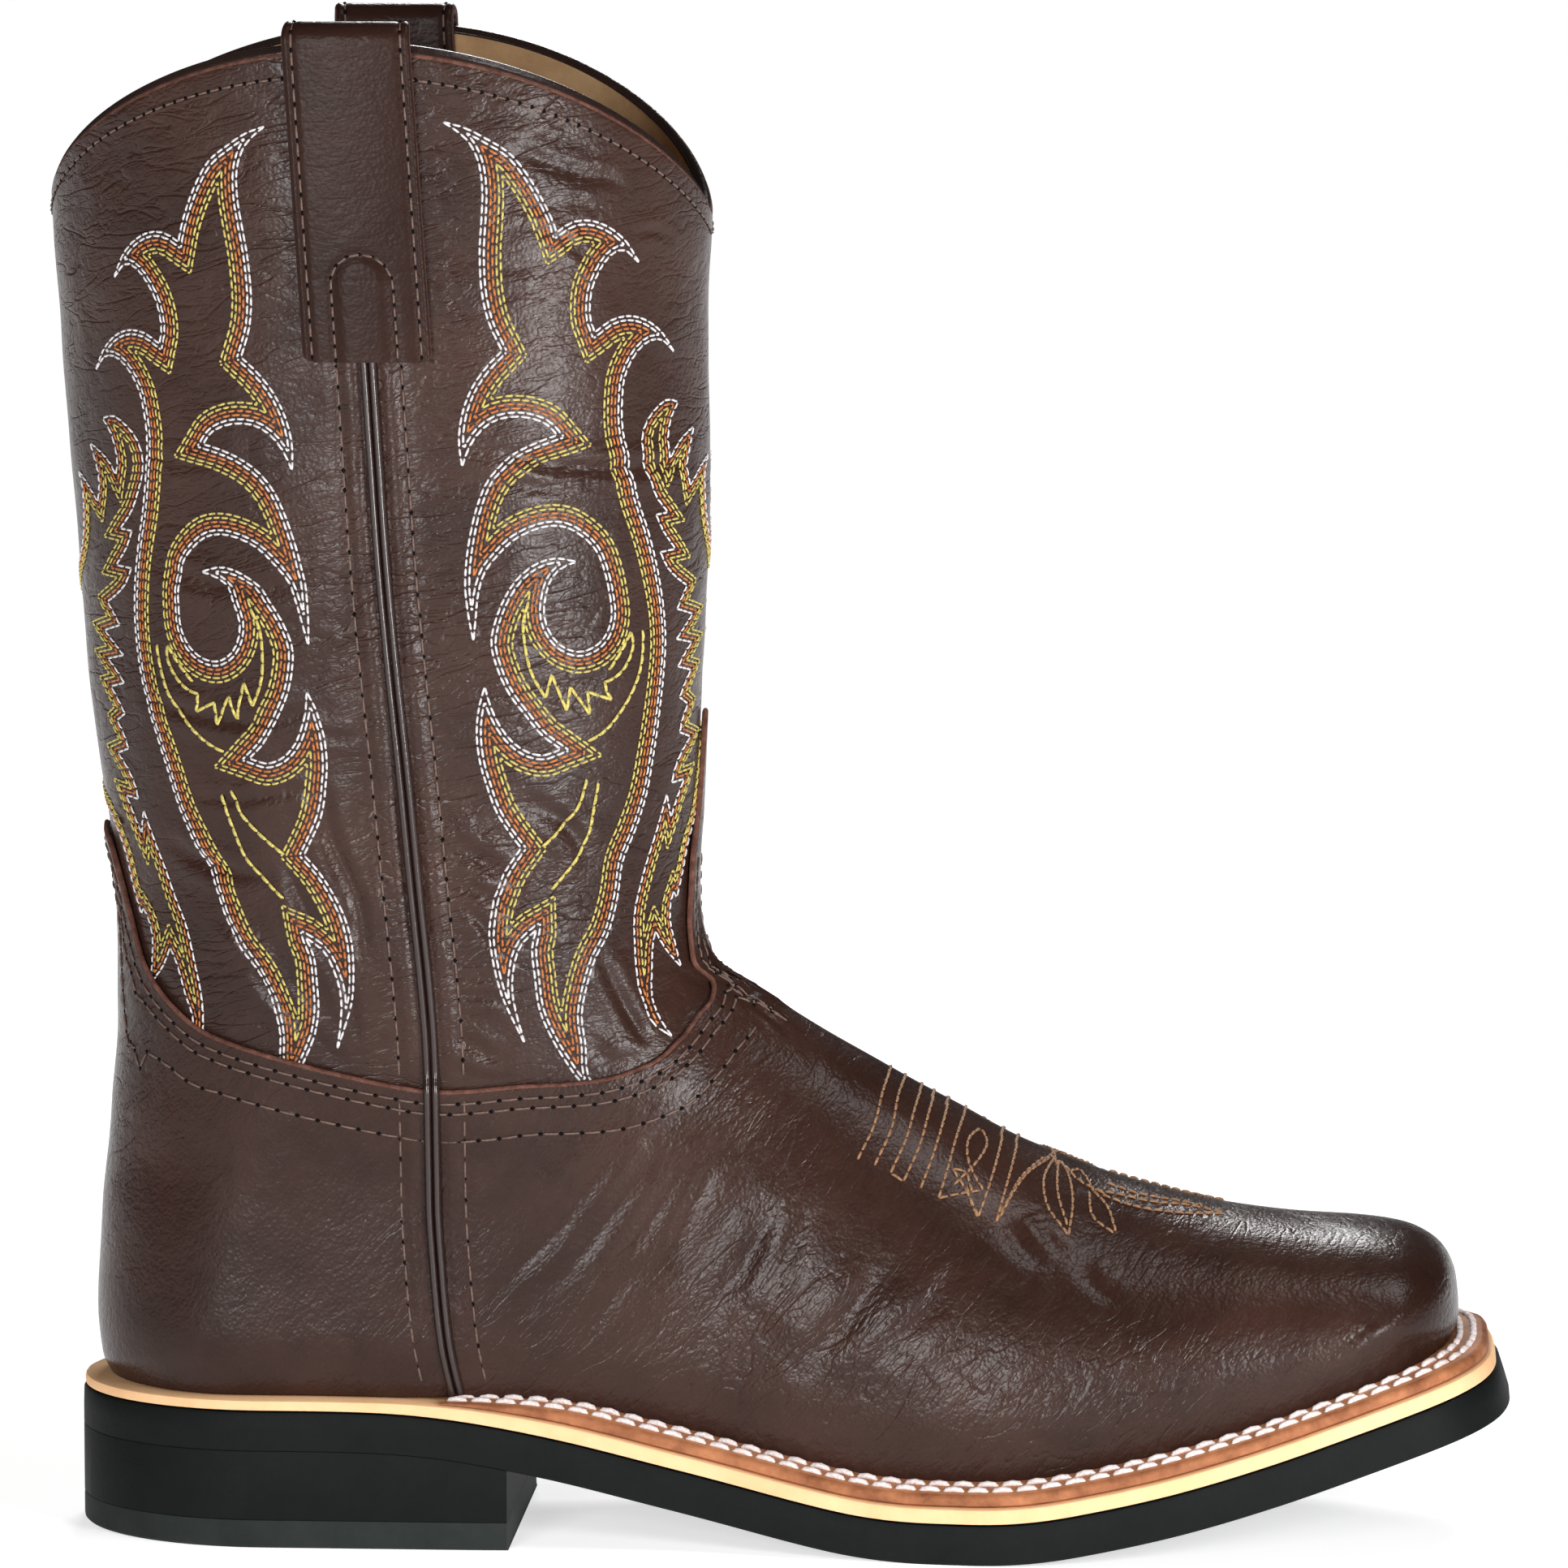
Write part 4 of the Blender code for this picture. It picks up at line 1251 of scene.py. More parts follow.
def build_shaft():
    """Make the shaft's leather, from the lapped seam up to the collar."""
    turn = even_turns(SKIN_COLUMNS, 0.8)
    top = top_line(turn)
    low = np.minimum(top - LAP_SHARE, LAP_TOP)
    climb = np.linspace(0, 1, OUTER_ROWS)[:, None]
    shares = low + climb * (1 - low)
    points = skin_grid(turn, shares)
    normal = grid_normals(points)
    free = ramp(shares - top, 0.0, 0.03) * ramp(1 - shares, 0.004, 0.04)
    offset = relief(points) * free
    outer = points + normal * offset[..., None]
    steps = np.linspace(0, 1, INNER_ROWS)[:, None]
    inner_shares = low + steps * (1 - low)
    inner_points = skin_grid(turn, inner_shares)
    inner = inner_points - grid_normals(inner_points) * LEATHER_WALL
    edge = rolled_edge(outer, inner, normal, 4)
    leather_shell("shaft_leather", outer, inner, edge, [LEATHER, RAW_EDGE], ["shaft"])


def build_lining():
    """Make the lining of shaft and foot, in one thin wall up to the collar."""
    turn = even_turns(LINING_COLUMNS, 0.3)
    top = top_line(turn)
    low = np.minimum(top - LAP_SHARE, LAP_TOP) - CLEAR_SHARE
    shares = np.linspace(0, 1, LINING_ROWS)[:, None] * np.ones(turn.shape)
    points = skin_grid(turn, shares)
    normal = normals_on_sole(points)
    depth = 0.0003 + (LEATHER_WALL + 0.0001) * ramp(shares, low - 0.05, low)
    outer = points - normal * depth[..., None]
    inner = points - normal * (depth + 0.0007)[..., None]
    rise = unit(outer[-1] - outer[-3]) * 0.0012
    outer = np.concatenate([outer, [outer[-1] + rise]])
    inner = np.concatenate([inner, [inner[-1] + rise]])
    edge = rolled_edge(outer, inner, normal, 2)
    leather_shell("lining", outer, inner, edge, [LINING, LINING], [])


def build_insole():
    """Make the insole board that lies in the lining, slightly hollow at its edge."""
    half = np.arange(1, 120) / 120
    sides = []
    for side in (half, 2 - half):
        around = skin(side + 0.004, 0 * side) - skin(side - 0.004, 0 * side)
        outward = unit(np.stack([around[:, 1], -around[:, 0], 0 * side], axis=1))
        sides.append((skin(side, 0 * side), outward))
    rows = []
    for inset, height in INSOLE_EDGE:
        rows.append([points - outward * inset + [0, 0, height + GAP] for points, outward in sides])
    left = [row[0] for row in rows]
    right = [row[1] for row in rows]
    middle = [left[-1] + (right[-1] - left[-1]) * share for share in (0.15, 0.3, 0.5, 0.7, 0.85)]
    loop = np.stack([*left, *middle, *right[::-1]], axis=1)
    faces = [face[::-1] for face in open_sweep_faces(*loop.shape[:2])]
    add_piece("insole_board", loop, faces, [LINING], ["insole"])


def sweep(path, outward, across, profile):
    """Return a grid of points: a profile of (across, out) pairs carried along a path."""
    profile = np.array(profile)
    return path[:, None] + across[:, None] * profile[:, :1] + outward[:, None] * profile[:, 1:]


def open_sweep_faces(rows, columns):
    """Return the faces of a swept closed profile with its two ends capped."""
    faces = ring_faces(rows, columns, False).tolist()
    faces.append(list(range(columns))[::-1])
    faces.append(list(range((rows - 1) * columns, rows * columns)))
    return faces


def build_binding():
    """Make the folded binding that stands above the collar's raw edge and grips the lining."""
    turn = even_turns(SKIN_COLUMNS, 1.0)
    ring = skin(turn, np.ones(turn.shape))
    below = skin(turn, np.full(turn.shape, 0.985))
    upward = unit(ring - below)
    round_leg = np.roll(ring, -1, axis=0) - np.roll(ring, 1, axis=0)
    outward = unit(np.cross(round_leg, upward))
    profile = 0.001 * np.array(BINDING_PROFILE)
    grid = sweep(ring, outward, upward, profile)
    faces = ring_faces(len(grid), len(profile), True)[:, ::-1].tolist()
    add_piece("collar_roll", grid, faces, [TRIM], ["collar_binding"], None, 60)


def side_frame(z, side, proud):
    """Return points of the side seam at heights, with the directions out of the boot and toward the toe."""
    x = seam_x(z)
    points = on_side(x, z, side, proud)
    outward = unit(on_side(x, z, side, np.full(z.shape, 0.001)) - on_side(x, z, side, np.zeros(z.shape)))
    along = unit(np.gradient(points, axis=0))
    return points, outward, unit(np.cross(along, outward))


def build_piping(side_name, side):
    """Make the doubled piping of a side seam, from the sole to the pull strap."""
    edge = upper_peak()
    z = np.linspace(seam_foot() + 0.0012, strap_foot() + 0.002, 220)
    proud = GAP / 2 + UPPER_PROUD * (1 - ramp(z, edge, edge + 0.005))
    points, outward, across = side_frame(z, side, proud)
    half = PIPING_WIDTH / 2
    bead = [(half * place, height / 1000) for place, height in PIPING_BEAD]
    profile = [(-place, height) for place, height in bead] + [(0.0, 0.00015)]
    profile += bead[::-1] + [(half * 0.5, -0.0004), (-half * 0.5, -0.0004)]
    grid = sweep(points, outward, across, profile)
    faces = open_sweep_faces(len(grid), len(profile))
    add_piece("side_welt_" + side_name, grid, faces, [PIPING],
              ["side_piping_" + side_name], None, 60)


def strap_points(side, along, across, out):
    """Return points of a pull strap at lengths from its outer foot, over the collar and down the inside."""
    bead = 2 * GAP + SHAFT_WALL
    reach = STRAP_REACH + out
    rise = collar_peak() + bead - strap_foot()
    angle = np.clip((along - rise) / STRAP_REACH, 0, np.pi)
    fall = np.maximum(along - rise - np.pi * STRAP_REACH, 0)
    level = strap_foot() + np.clip(along, 0, rise) - fall
    z = level + np.sin(angle) * reach
    return on_side(seam_x(level) + across, z, side, -SHAFT_WALL / 2 + np.cos(angle) * reach)


def strap_length():
    """Return a pull strap's length from its outer foot to its inner end."""
    return collar_peak() + 2 * GAP + SHAFT_WALL - strap_foot() + np.pi * STRAP_REACH + STRAP_TAIL


def strap_face(along, across):
    """Return how far the outer face of a pull strap stands over its middle."""
    in_from_edge = STRAP_WIDTH / 2 - np.abs(across)
    bevel = 0.0008 * (1 - np.sqrt(np.clip(in_from_edge / 0.0009, 0, 1)))
    groove = 0.00028 * bell(in_from_edge - STRAP_ROW, 0.0006)
    bead = 0.00010 * bell(in_from_edge - 0.0008, 0.0005)
    above_arch = np.hypot(across, np.maximum(along - ARCH_HEIGHT + ARCH_HALF, 0))
    padding = 0.00045 * ramp(ARCH_HALF - above_arch, 0.0, 0.003)
    padding -= 0.00025 * bell(above_arch - ARCH_HALF, 0.0007)
    return STRAP_THICKNESS / 2 - bevel - groove + bead + padding * (along < ARCH_HEIGHT + 0.004)


def build_strap(side_name, side):
    """Make a pull strap with rounded corners, pressed stitch lines and the padded arch at its foot."""
    corner = STRAP_CORNER
    along = np.append(np.linspace(0, corner, 8)[:-1], np.linspace(corner, strap_length(), STRAP_ROWS))
    bend = np.linspace(-0.5, 0.5, STRAP_LANES) * np.pi * LANE_BEND
    lanes = np.sin(bend) / math.sin(LANE_BEND / 2 * math.pi)
    pull = corner - np.sqrt(np.maximum(corner**2 - np.maximum(corner - along, 0) ** 2, 0))
    across = (STRAP_WIDTH / 2 - pull)[:, None] * lanes
    run = np.broadcast_to(along[:, None], across.shape)
    outer = strap_points(side, run, across, strap_face(run, across))
    back = -STRAP_THICKNESS / 2 + 0.0006 * (1 - np.sqrt(np.clip((1 - np.abs(lanes)) / 0.06, 0, 1)))
    inner = strap_points(side, run, across, np.broadcast_to(back, across.shape))
    loop = np.concatenate([outer, inner[:, ::-1]], axis=1)
    if side == 1:
        loop = loop[:, ::-1]
    count = loop.shape[1]
    faces = open_sweep_faces(len(loop), count)
    cut = (count // 2 - 2, count // 2 - 1, count // 2, count - 2, count - 1, 0)
    parts = [1 if face % count in cut else 0 for face in range(len(faces) - 2)] + [1, 1]
    name = "pull_strap_" + side_name
    finishes = [STRAP_LEATHER, STRAP_EDGE]
    add_piece(name + "_leather", loop, faces, finishes, [name], parts, 60)


def strap_rows(side):
    """Return the stitches along both edges of a pull strap and round the arch at its foot."""
    rows = []
    runs = []
    edge = STRAP_WIDTH / 2 - STRAP_ROW
    for lane in (-edge, edge):
        along = np.linspace(0.001, strap_length() - 0.002, 500)
        runs.append((along, np.full(along.shape, lane), 0.0038))
    bend = np.linspace(np.pi, 0, 60)
    legs = np.linspace(0.0005, ARCH_HEIGHT - ARCH_HALF, 60)
    along_arch = [legs, ARCH_HEIGHT - ARCH_HALF + ARCH_HALF * np.sin(bend), legs[::-1]]
    across_arch = [0 * legs - ARCH_HALF, ARCH_HALF * np.cos(bend), 0 * legs + ARCH_HALF]
    runs.append((np.concatenate(along_arch), np.concatenate(across_arch), 0.0028))
    for along, across, pitch in runs:
        face = strap_face(along, across)
        path = strap_points(side, along, across, face + THREAD_LIFT)
        above = strap_points(side, along, across, face + 0.001)
        rows.append(stitch_row(path, unit(above - path), pitch, 0.80))
    return rows


def sole_loop(stations, inset):
    """Return the sole's outline as one closed loop of x, y pairs."""
    x, lateral, medial = sole_outline(stations, inset)
    return np.concatenate([np.stack([x, lateral], axis=1), np.stack([x, medial], axis=1)[::-1]])


def layered(name, stations, levels, finish, node, flat=False):
    """Make a layer of the sole from a list of (inset, height function) levels going up its edge."""
    rows = []
    for inset, height in levels:
        loop = sole_loop(stations, inset)
        if flat:
            rows.append(np.column_stack([loop, height(loop[:, 0])]))
        else:
            at, z = layer_point(loop[:, 0], height(loop[:, 0]))
            rows.append(np.column_stack([at, loop[:, 1], z]))
    grid = np.array(rows)
    count = grid.shape[1]
    faces = ring_faces(len(grid), count, False).tolist()
    for row, order in ((0, 1), (len(grid) - 1, -1)):
        base = row * count
        for step in range(count // 2 - 1):
            quad = [base + step, base + count - 1 - step, base + count - 2 - step, base + step + 1]
            faces.append(quad[::order])
    add_piece(name, grid, faces, [finish], [node], None, 35)


def constant(value):
    """Return a height function that is the same everywhere."""
    return lambda x: value + 0 * x


def lowered(height, depth):
    """Return a height function that stays a depth below another."""
    return lambda x: height(x) - depth


def welt_level(share):
    """Return the height function of a share of the way from the welt's underside to its top."""
    return lambda x: midsole_top(x) + GAP + share * (welt_top(x) - (midsole_top(x) + GAP))


def build_sole():
    """Make outsole, heel block, top lift and midsole with the soft edges of cut leather and rubber."""
    heel_share = HEEL_LENGTH / SOLE_LENGTH
    heel = heel_share * (1 - np.cos(np.pi / 2 * np.linspace(0.03, 1, 60)))
    fore = heel_share + (1 - heel_share) * np.sin(np.pi / 2 * np.linspace(0, 0.985, 150))
    whole = np.append(heel, fore[1:])
    thick = OUTSOLE_THICKNESS
    outsole = [
        (0.0040, constant(0.0)),
        (0.0002, constant(0.0)),
        (0.0000, constant(0.0002)),
        (0.0000, constant(thick * 0.5)),
        (0.0001, constant(thick - 0.0006)),
        (0.0004, constant(thick)),
    ]
    layered("outsole_rubber", whole, outsole, OUTSOLE, "outsole")
    lift_top = TOP_LIFT_THICKNESS + GAP
    block = [
        (0.0002, constant(lift_top)),
        (0.0000, constant(lift_top + 0.0003)),
        (0.0000, lowered(bottom_height, 0.0004)),
        (0.0001, lowered(bottom_height, 0.00002)),
    ]
    layered("heel_stack", heel, block, OUTSOLE, "heel_block", True)
    lift = [
        (0.0006, constant(0.0)),
        (0.0001, constant(0.0005)),
        (0.0000, constant(0.0012)),
        (0.0000, constant(TOP_LIFT_THICKNESS - 0.0006)),
        (0.0001, constant(lift_top - 0.00003)),
    ]
    layered("heel_top_lift", heel, lift, TOP_LIFT, "top_lift", True)
    low = OUTSOLE_THICKNESS + GAP
    midsole = [
        (0.0012, constant(low)),
        (0.0005, constant(low + 0.0002)),
        (0.0004, lowered(midsole_top, 0.0012)),
        (0.0006, lowered(midsole_top, 0.0003)),
        (0.0012, midsole_top),
    ]
    layered("midsole_leather_layer", whole, midsole, MIDSOLE, "midsole")


def welt_loop(inset, height, stations):
    """Return points round the welt at an inset and a height over the outsole's bottom."""
    x, lateral, medial = sole_outline(stations, inset)
    at = np.append(x, x[::-1])
    y = np.append(lateral, medial[::-1])
    place, z = layer_point(at, height(at))
    return np.stack([place, y, z], axis=1)


# Section of the welt from its inner lower edge outward, up its side and in over its sloped top: inset in
# millimetres (none for the edge under the upper), share of the welt's thickness, whether the face that
# starts there belongs to the lighter top
WELT_SECTION = (
    (None, 0.00, 0),
    (1.6, 0.00, 0),
    (0.9, 0.12, 0),
    (0.8, 0.45, 0),
    (1.0, 0.62, 0),
    (1.7, 0.78, 1),
    (3.0, 0.88, 1),
    (7.0, 1.22, 1),
    (None, 1.22, 0),
)

# Rows of welt stitches: inset, share of the welt's thickness
WELT_ROWS = ((0.0033, 0.91), (0.0059, 1.13))


def build_welt():
    """Make the welt, a strip round the forefoot, and its two rows of thick stitches."""
    start = HEEL_LENGTH * 0.84 / SOLE_LENGTH
    stations = start + (1 - start) * np.sin(np.pi / 2 * np.linspace(0, 0.985, 190))
    inner = WELT_WIDTH + UPPER_PROUD + LINING_THICKNESS + 0.003
    columns = []
    for inset, level, _ in WELT_SECTION:
        columns.append(welt_loop(inner if inset is None else inset / 1000, welt_level(level), stations))
    grid = np.stack(columns, axis=1)
    faces = [face[::-1] for face in open_sweep_faces(*grid.shape[:2])]
    tops = [top for _, _, top in WELT_SECTION]
    parts = tops * (len(grid) - 1) + [0, 0]
    add_piece("welt_strip", grid, faces, [WELT_EDGE, WELT_TOP], ["welt"], parts, 50)
    rows = []
    for inset, level in WELT_ROWS:
        path = welt_loop(inset, welt_level(level), stations)
        lower = welt_loop(inset, welt_level(level - 0.3), stations)
        rows.append(stitch_row(path, unit(path - lower), WELT_PITCH, 0.9))
    add_thread("welt_stitches", rows, WELT_THREAD, WELT_RISE, WELT_THREAD_FINISH, 8)


def stitch_row(path, normal, pitch, fill):
    """Return starts, ends and normals of even stitches along a path."""
    arc = arc_length(path)
    count = max(1, int(round(arc[-1] / pitch)))
    step = arc[-1] / count
    start = np.arange(count) * step + step * (1 - fill) / 2
    middle = unit(places_along(start + step * fill / 2, arc, normal))
    return places_along(start, arc, path), places_along(start + step * fill, arc, path), middle


def add_thread(name, rows, width, rise, finish, sides=5, rings=PLUMP_RINGS):
    """Make one mesh of stitches: each is a plump closed thread whose ends dive into the leather."""
    starts, ends, normals = (np.concatenate(part) for part in zip(*rows))
    along = unit(ends - starts)
    across = unit(np.cross(normals, along))
    upward = np.cross(along, across)
    angle = np.arange(sides) * 2 * np.pi / sides + np.pi / 2
    points = []
    for share, size, lift in rings:
        centre = starts + (ends - starts) * share + upward * lift * rise
        for turn in angle:
            sideways = across * (math.cos(turn) * width / 2 * size)
            points.append(centre + sideways + upward * (math.sin(turn) * rise * size * THREAD_FULLNESS))
    points = np.stack(points, axis=1)
    quads = ring_faces(len(rings), sides, False)
    per_stitch = points.shape[1]
    base = np.arange(len(starts))[:, None, None] * per_stitch
    faces = (quads + base).reshape(-1, 4).tolist()
    last = (len(rings) - 1) * sides
    caps = (np.arange(sides)[::-1], np.arange(last, last + sides))
    for cap in caps:
        faces += (cap + base[:, 0]).tolist()
    add_piece(name, points, faces, [finish], (), None, 0)


def add_hole_shades(name, rows):
    """Make one mesh of painted hole shade between the stitches: a small closed near-black lens at each needle
    hole that stands for the shadow inside it.
    """
    centres, spans = [], []
    for starts, ends, normals in rows:
        along = unit(ends - starts)
        centres.append(starts - along * HOLE_SHIFT)
        spans.append(np.stack([along, np.cross(normals, along), normals], axis=1))
    centres, spans = np.concatenate(centres), np.concatenate(spans)
    points = []
    for corner in ((1, 0, 0), (0, 1, 0), (-1, 0, 0), (0, -1, 0), (0, 0, 1), (0, 0, -1)):
        reach = np.multiply(HOLE_SIZE, corner)
        points.append(centres + (reach[:, None] * spans).sum(axis=1))
    lens = np.array([(0, 1, 4), (1, 2, 4), (2, 3, 4), (3, 0, 4), (1, 0, 5), (2, 1, 5), (3, 2, 5), (0, 3, 5)])
    faces = (lens + np.arange(len(centres))[:, None, None] * len(points)).reshape(-1, 3)
    add_piece(name, np.stack(points, axis=1), faces.tolist(), [HOLE_SHADE], (), None, 0)


def flat_motif(strokes, anchor):
    """Return a chart's strokes as runs in the flat of the leather: way along the girth, and height."""
    flat = []
    for stroke in strokes:
        place = seen_at(stroke)
        flat.append(np.stack([SECTIONS.girth(place[:, 0], place[:, 2], anchor), place[:, 2]], axis=1))
    return flat


def distance_to_loop(points, loop):
    """Return the distance from points to a closed loop of flat points."""
    run = np.roll(loop, -1, axis=0) - loop
    away = []
    for block in np.array_split(points, 1 + len(points) // 500):
        offset = block[:, None] - loop
        share = np.clip((offset * run).sum(-1) / (run**2).sum(-1), 0, 1)
        away.append(np.linalg.norm(offset - share[..., None] * run, axis=-1).min(axis=1))
    return np.concatenate(away)


def inside_loop(points, loop):
    """Tell which flat points lie inside a closed loop."""
    start, end = loop, np.roll(loop, -1, axis=0)
    slope = (end[:, 0] - start[:, 0]) / np.where(end[:, 1] == start[:, 1], 1, end[:, 1] - start[:, 1])
    level = points[:, 1:]
    crossed = (start[:, 1] > level) != (end[:, 1] > level)
    beyond = points[:, :1] < start[:, 0] + (level - start[:, 1]) * slope
    return (crossed & beyond).sum(axis=1) % 2 == 1


def inset_loop(strokes, inset, step):
    """Return a closed loop of strokes drawn inward by an inset, mitred at notches and trimmed at tips."""
    loop = np.concatenate([stroke[:-1] for stroke in strokes])
    if not inset:
        return loop
    ahead = np.roll(loop, -1, axis=0)
    turn_way = np.sign((loop[:, 0] * ahead[:, 1] - ahead[:, 0] * loop[:, 1]).sum())
    moved, inward = [], []
    for stroke in strokes:
        along = unit(np.gradient(stroke, axis=0))
        normal = np.stack([-along[:, 1], along[:, 0]], axis=1) * turn_way
        moved.append(stroke + normal * inset)
        inward.append(normal)
    pieces = []
    for place, stroke in enumerate(strokes):
        following = (place + 1) % len(strokes)
        pieces.append(moved[place])
        before, after = inward[place][-1], inward[following][0]
        bend = (before[0] * after[1] - before[1] * after[0]) * turn_way
        if bend < -0.05:
            mitre = stroke[-1] + (before + after) * inset / max(1 + before @ after, 0.25)
            pieces.append(smooth_run(np.array([moved[place][-1], mitre]), step)[1:])
            pieces.append(smooth_run(np.array([mitre, moved[following][0]]), step)[1:-1])
    path = np.concatenate(pieces)
    return path[(distance_to_loop(path, loop) > inset - 0.00004) & inside_loop(path, loop)]


def cut_at_corners(loop):
    """Cut a closed loop of close points into runs between its sharp corners."""
    before = unit(loop - np.roll(loop, CORNER_REACH, axis=0))
    after = unit(np.roll(loop, -CORNER_REACH, axis=0) - loop)
    turning = (before * after).sum(axis=1)
    reach = np.arange(-CORNER_REACH, CORNER_REACH + 1)
    corners = []
    for place in np.flatnonzero(turning < CORNER_COSINE):
        near = turning.take(place + reach, mode="wrap")
        if turning[place] == near.min() and not (corners and place - corners[-1] <= CORNER_REACH):
            corners.append(place)
    if not corners:
        return [np.vstack([loop, loop[:1]])]
    runs = []
    for place, corner in enumerate(corners):
        following = corners[(place + 1) % len(corners)]
        if following <= corner:
            following += len(loop)
        runs.append(loop.take(range(corner, following + 1), axis=0, mode="wrap"))
    return runs


def flat_stitches(run, pitch, gap, phase=0.0):
    """Return the starts and ends of hand-guided stitches along a flat run, shifted by a phase."""
    arc = arc_length(run)
    if arc[-1] < 0.35 * pitch:
        return np.zeros((0, 4))
    count = max(1, int(round(arc[-1] / pitch)))
    joints = (np.arange(1, count + 1) - phase) * arc[-1] / count
    joints += 0.10 * pitch * np.sin(7.3 * np.arange(count) + 900 * run[0, 0])
    joints = joints[(joints > 0.3 * pitch) & (joints < arc[-1] - 0.3 * pitch)]
    marks = np.concatenate([[0], joints, [arc[-1]]])
    starts = places_along(marks[:-1] + gap / 2, arc, run)
    ends = places_along(marks[1:] - gap / 2, arc, run)
    return np.concatenate([starts, ends], axis=1)


def motif_rows(strokes, colours, step):
    """Return the stitches of each thread colour in the rows that follow an outline inward."""
    rows = {}
    for row, colour in enumerate(colours):
        inner = inset_loop(strokes, row * FANCY_SPACING, step)
        if len(inner) < 12:
            continue
        phase = 0.5 * (row % 2)
        found = [flat_stitches(run, FANCY_PITCH, FANCY_GAP, phase) for run in cut_at_corners(inner)]
        rows.setdefault(colour, []).append(np.concatenate(found))
    return {colour: np.concatenate(parts) for colour, parts in rows.items()}


def on_back(stroke):
    """Return the pixels at which the back's motif shows a stroke of the front's motif."""
    x, y = stroke.T
    return np.stack([np.interp(y, BACK_MOTIF["y"], BACK_MOTIF["sum"]) - x, y + BACK_MOTIF_DROP], axis=1)


def centre_motif(strokes, anchor, step):
    """Return the closed outline of a motif on the leg's front or back, from the strokes of its near half."""
    half = flat_motif(strokes, anchor)
    half[0][0, 0] = 0
    half[-1][-1, 0] = 0
    mirrored = [run[::-1] * [-1, 1] for run in half[::-1]]
    return [smooth_run(run, step) for run in half + mirrored]


def on_rear(stitches):
    """Return flat stitches as the rear flames have them: a little narrower, and lower toward the back."""
    moved = stitches.copy()
    for across, height in ((0, 1), (2, 3)):
        moved[:, across] -= REAR_NARROWING * stitches[:, across] ** 2
        moved[:, height] -= REAR_DROP * stitches[:, across]
    return moved


def lay_on_leg(stitches, anchor, way):
    """Return flat stitches laid on the shaft from an anchor line, forward or backward along the girth."""
    ends = []
    for columns in ((0, 1), (2, 3)):
        points, normal = SECTIONS.place(anchor, way * stitches[:, columns[0]], stitches[:, columns[1]])
        offset = relief(points)
        ends.append((points + normal * (offset + 0.00008)[:, None], normal))
    return ends[0][0], ends[1][0], unit(ends[0][1] + ends[1][1])


def build_fancy_stitching():
    """Stitch the flames on the four quarters of the shaft and the motifs on its front and back."""
    step = FANCY_STEP
    flame = [smooth_run(run, step) for run in flat_motif([run[0] for run in read_runs(FLAME)], "lateral")]
    rows = motif_rows(flame, ["white", "white", "orange", "orange", "yellow", "yellow"], step)
    singles = []
    for line in read_runs(FLAME_LINES):
        for run in flat_motif(line, "lateral"):
            singles.append(flat_stitches(smooth_run(run, step), SINGLE_PITCH, 0.0))
    near = [run[0] for run in read_runs(MOTIF)]
    threads = {"white": [], "orange": [], "yellow": [], "single": []}
    rows["single"] = np.concatenate(singles)
    for anchor, ahead in (("lateral", 1), ("medial", -1)):
        for colour, stitches in rows.items():
            threads[colour].append(lay_on_leg(stitches, anchor, ahead))
            threads[colour].append(lay_on_leg(on_rear(stitches), anchor, -ahead))
    for anchor, strokes in (("front", near), ("back", [on_back(stroke) for stroke in near])):
        outline = centre_motif(strokes, anchor, step)
        centre = motif_rows(outline, ["white", "orange", "yellow", "yellow"], step)
        for colour, stitches in centre.items():
            threads[colour].append(lay_on_leg(stitches, anchor, 1))
    for colour, finish in (("white", WHITE_THREAD), ("orange", ORANGE_THREAD), ("yellow", YELLOW_THREAD)):
        name = "flame_stitches_" + colour
        add_thread(name, threads[colour], FANCY_WIDTH, FANCY_RISE, finish, 4, FINE_RINGS)
    add_thread("flame_stitches_single", threads["single"], SINGLE_WIDTH, SINGLE_RISE, YELLOW_THREAD)


def build_toe_stitching():
    """Stitch the bars and leaves across the vamp in brown thread, mirrored over its ridge."""
    rows = []
    for line in read_runs(TOE_STITCHES):
        for run in line:
            turn, share = turns_at(seen_at(smooth_run(run, 5.0), UPPER_PROUD))
            for turns in (turn, 2 - turn):
                path = off_skin(turns, share, np.zeros(len(turns)))
                lift = UPPER_PROUD + relief(path) + THREAD_LIFT
                path = off_skin(turns, share, lift)
                normal = unit(off_skin(turns, share, lift + 0.001) - path)
                if np.linalg.norm(np.diff(path, axis=0), axis=1).sum() > 0.001:
                    rows.append(stitch_row(path, normal, TOE_PITCH, 0.88))
    add_thread("toe_stitches", rows, TOE_WIDTH, TOE_RISE, TOE_THREAD)


def edge_row(distance, low_turn, high_turn, count):
    """Return points and outward directions of a line on the upper at a distance below its top line."""
    turn = np.linspace(low_turn, high_turn, count)
    share = top_line(turn)
    step = 0.003
    edge = skin(turn + step, top_line(turn + step)) - skin(turn - step, top_line(turn - step))
    rise = (skin(turn, share) - skin(turn, share - step)) / step
    slant = np.linalg.norm(np.cross(unit(edge), rise), axis=1)
    low = share - distance / slant
    points = skin(turn, low)
    around = skin(turn + step, low) - skin(turn - step, low)
    normal = unit(np.cross(around, skin(turn, low + step) - skin(turn, low - step)))
    return points, normal, low


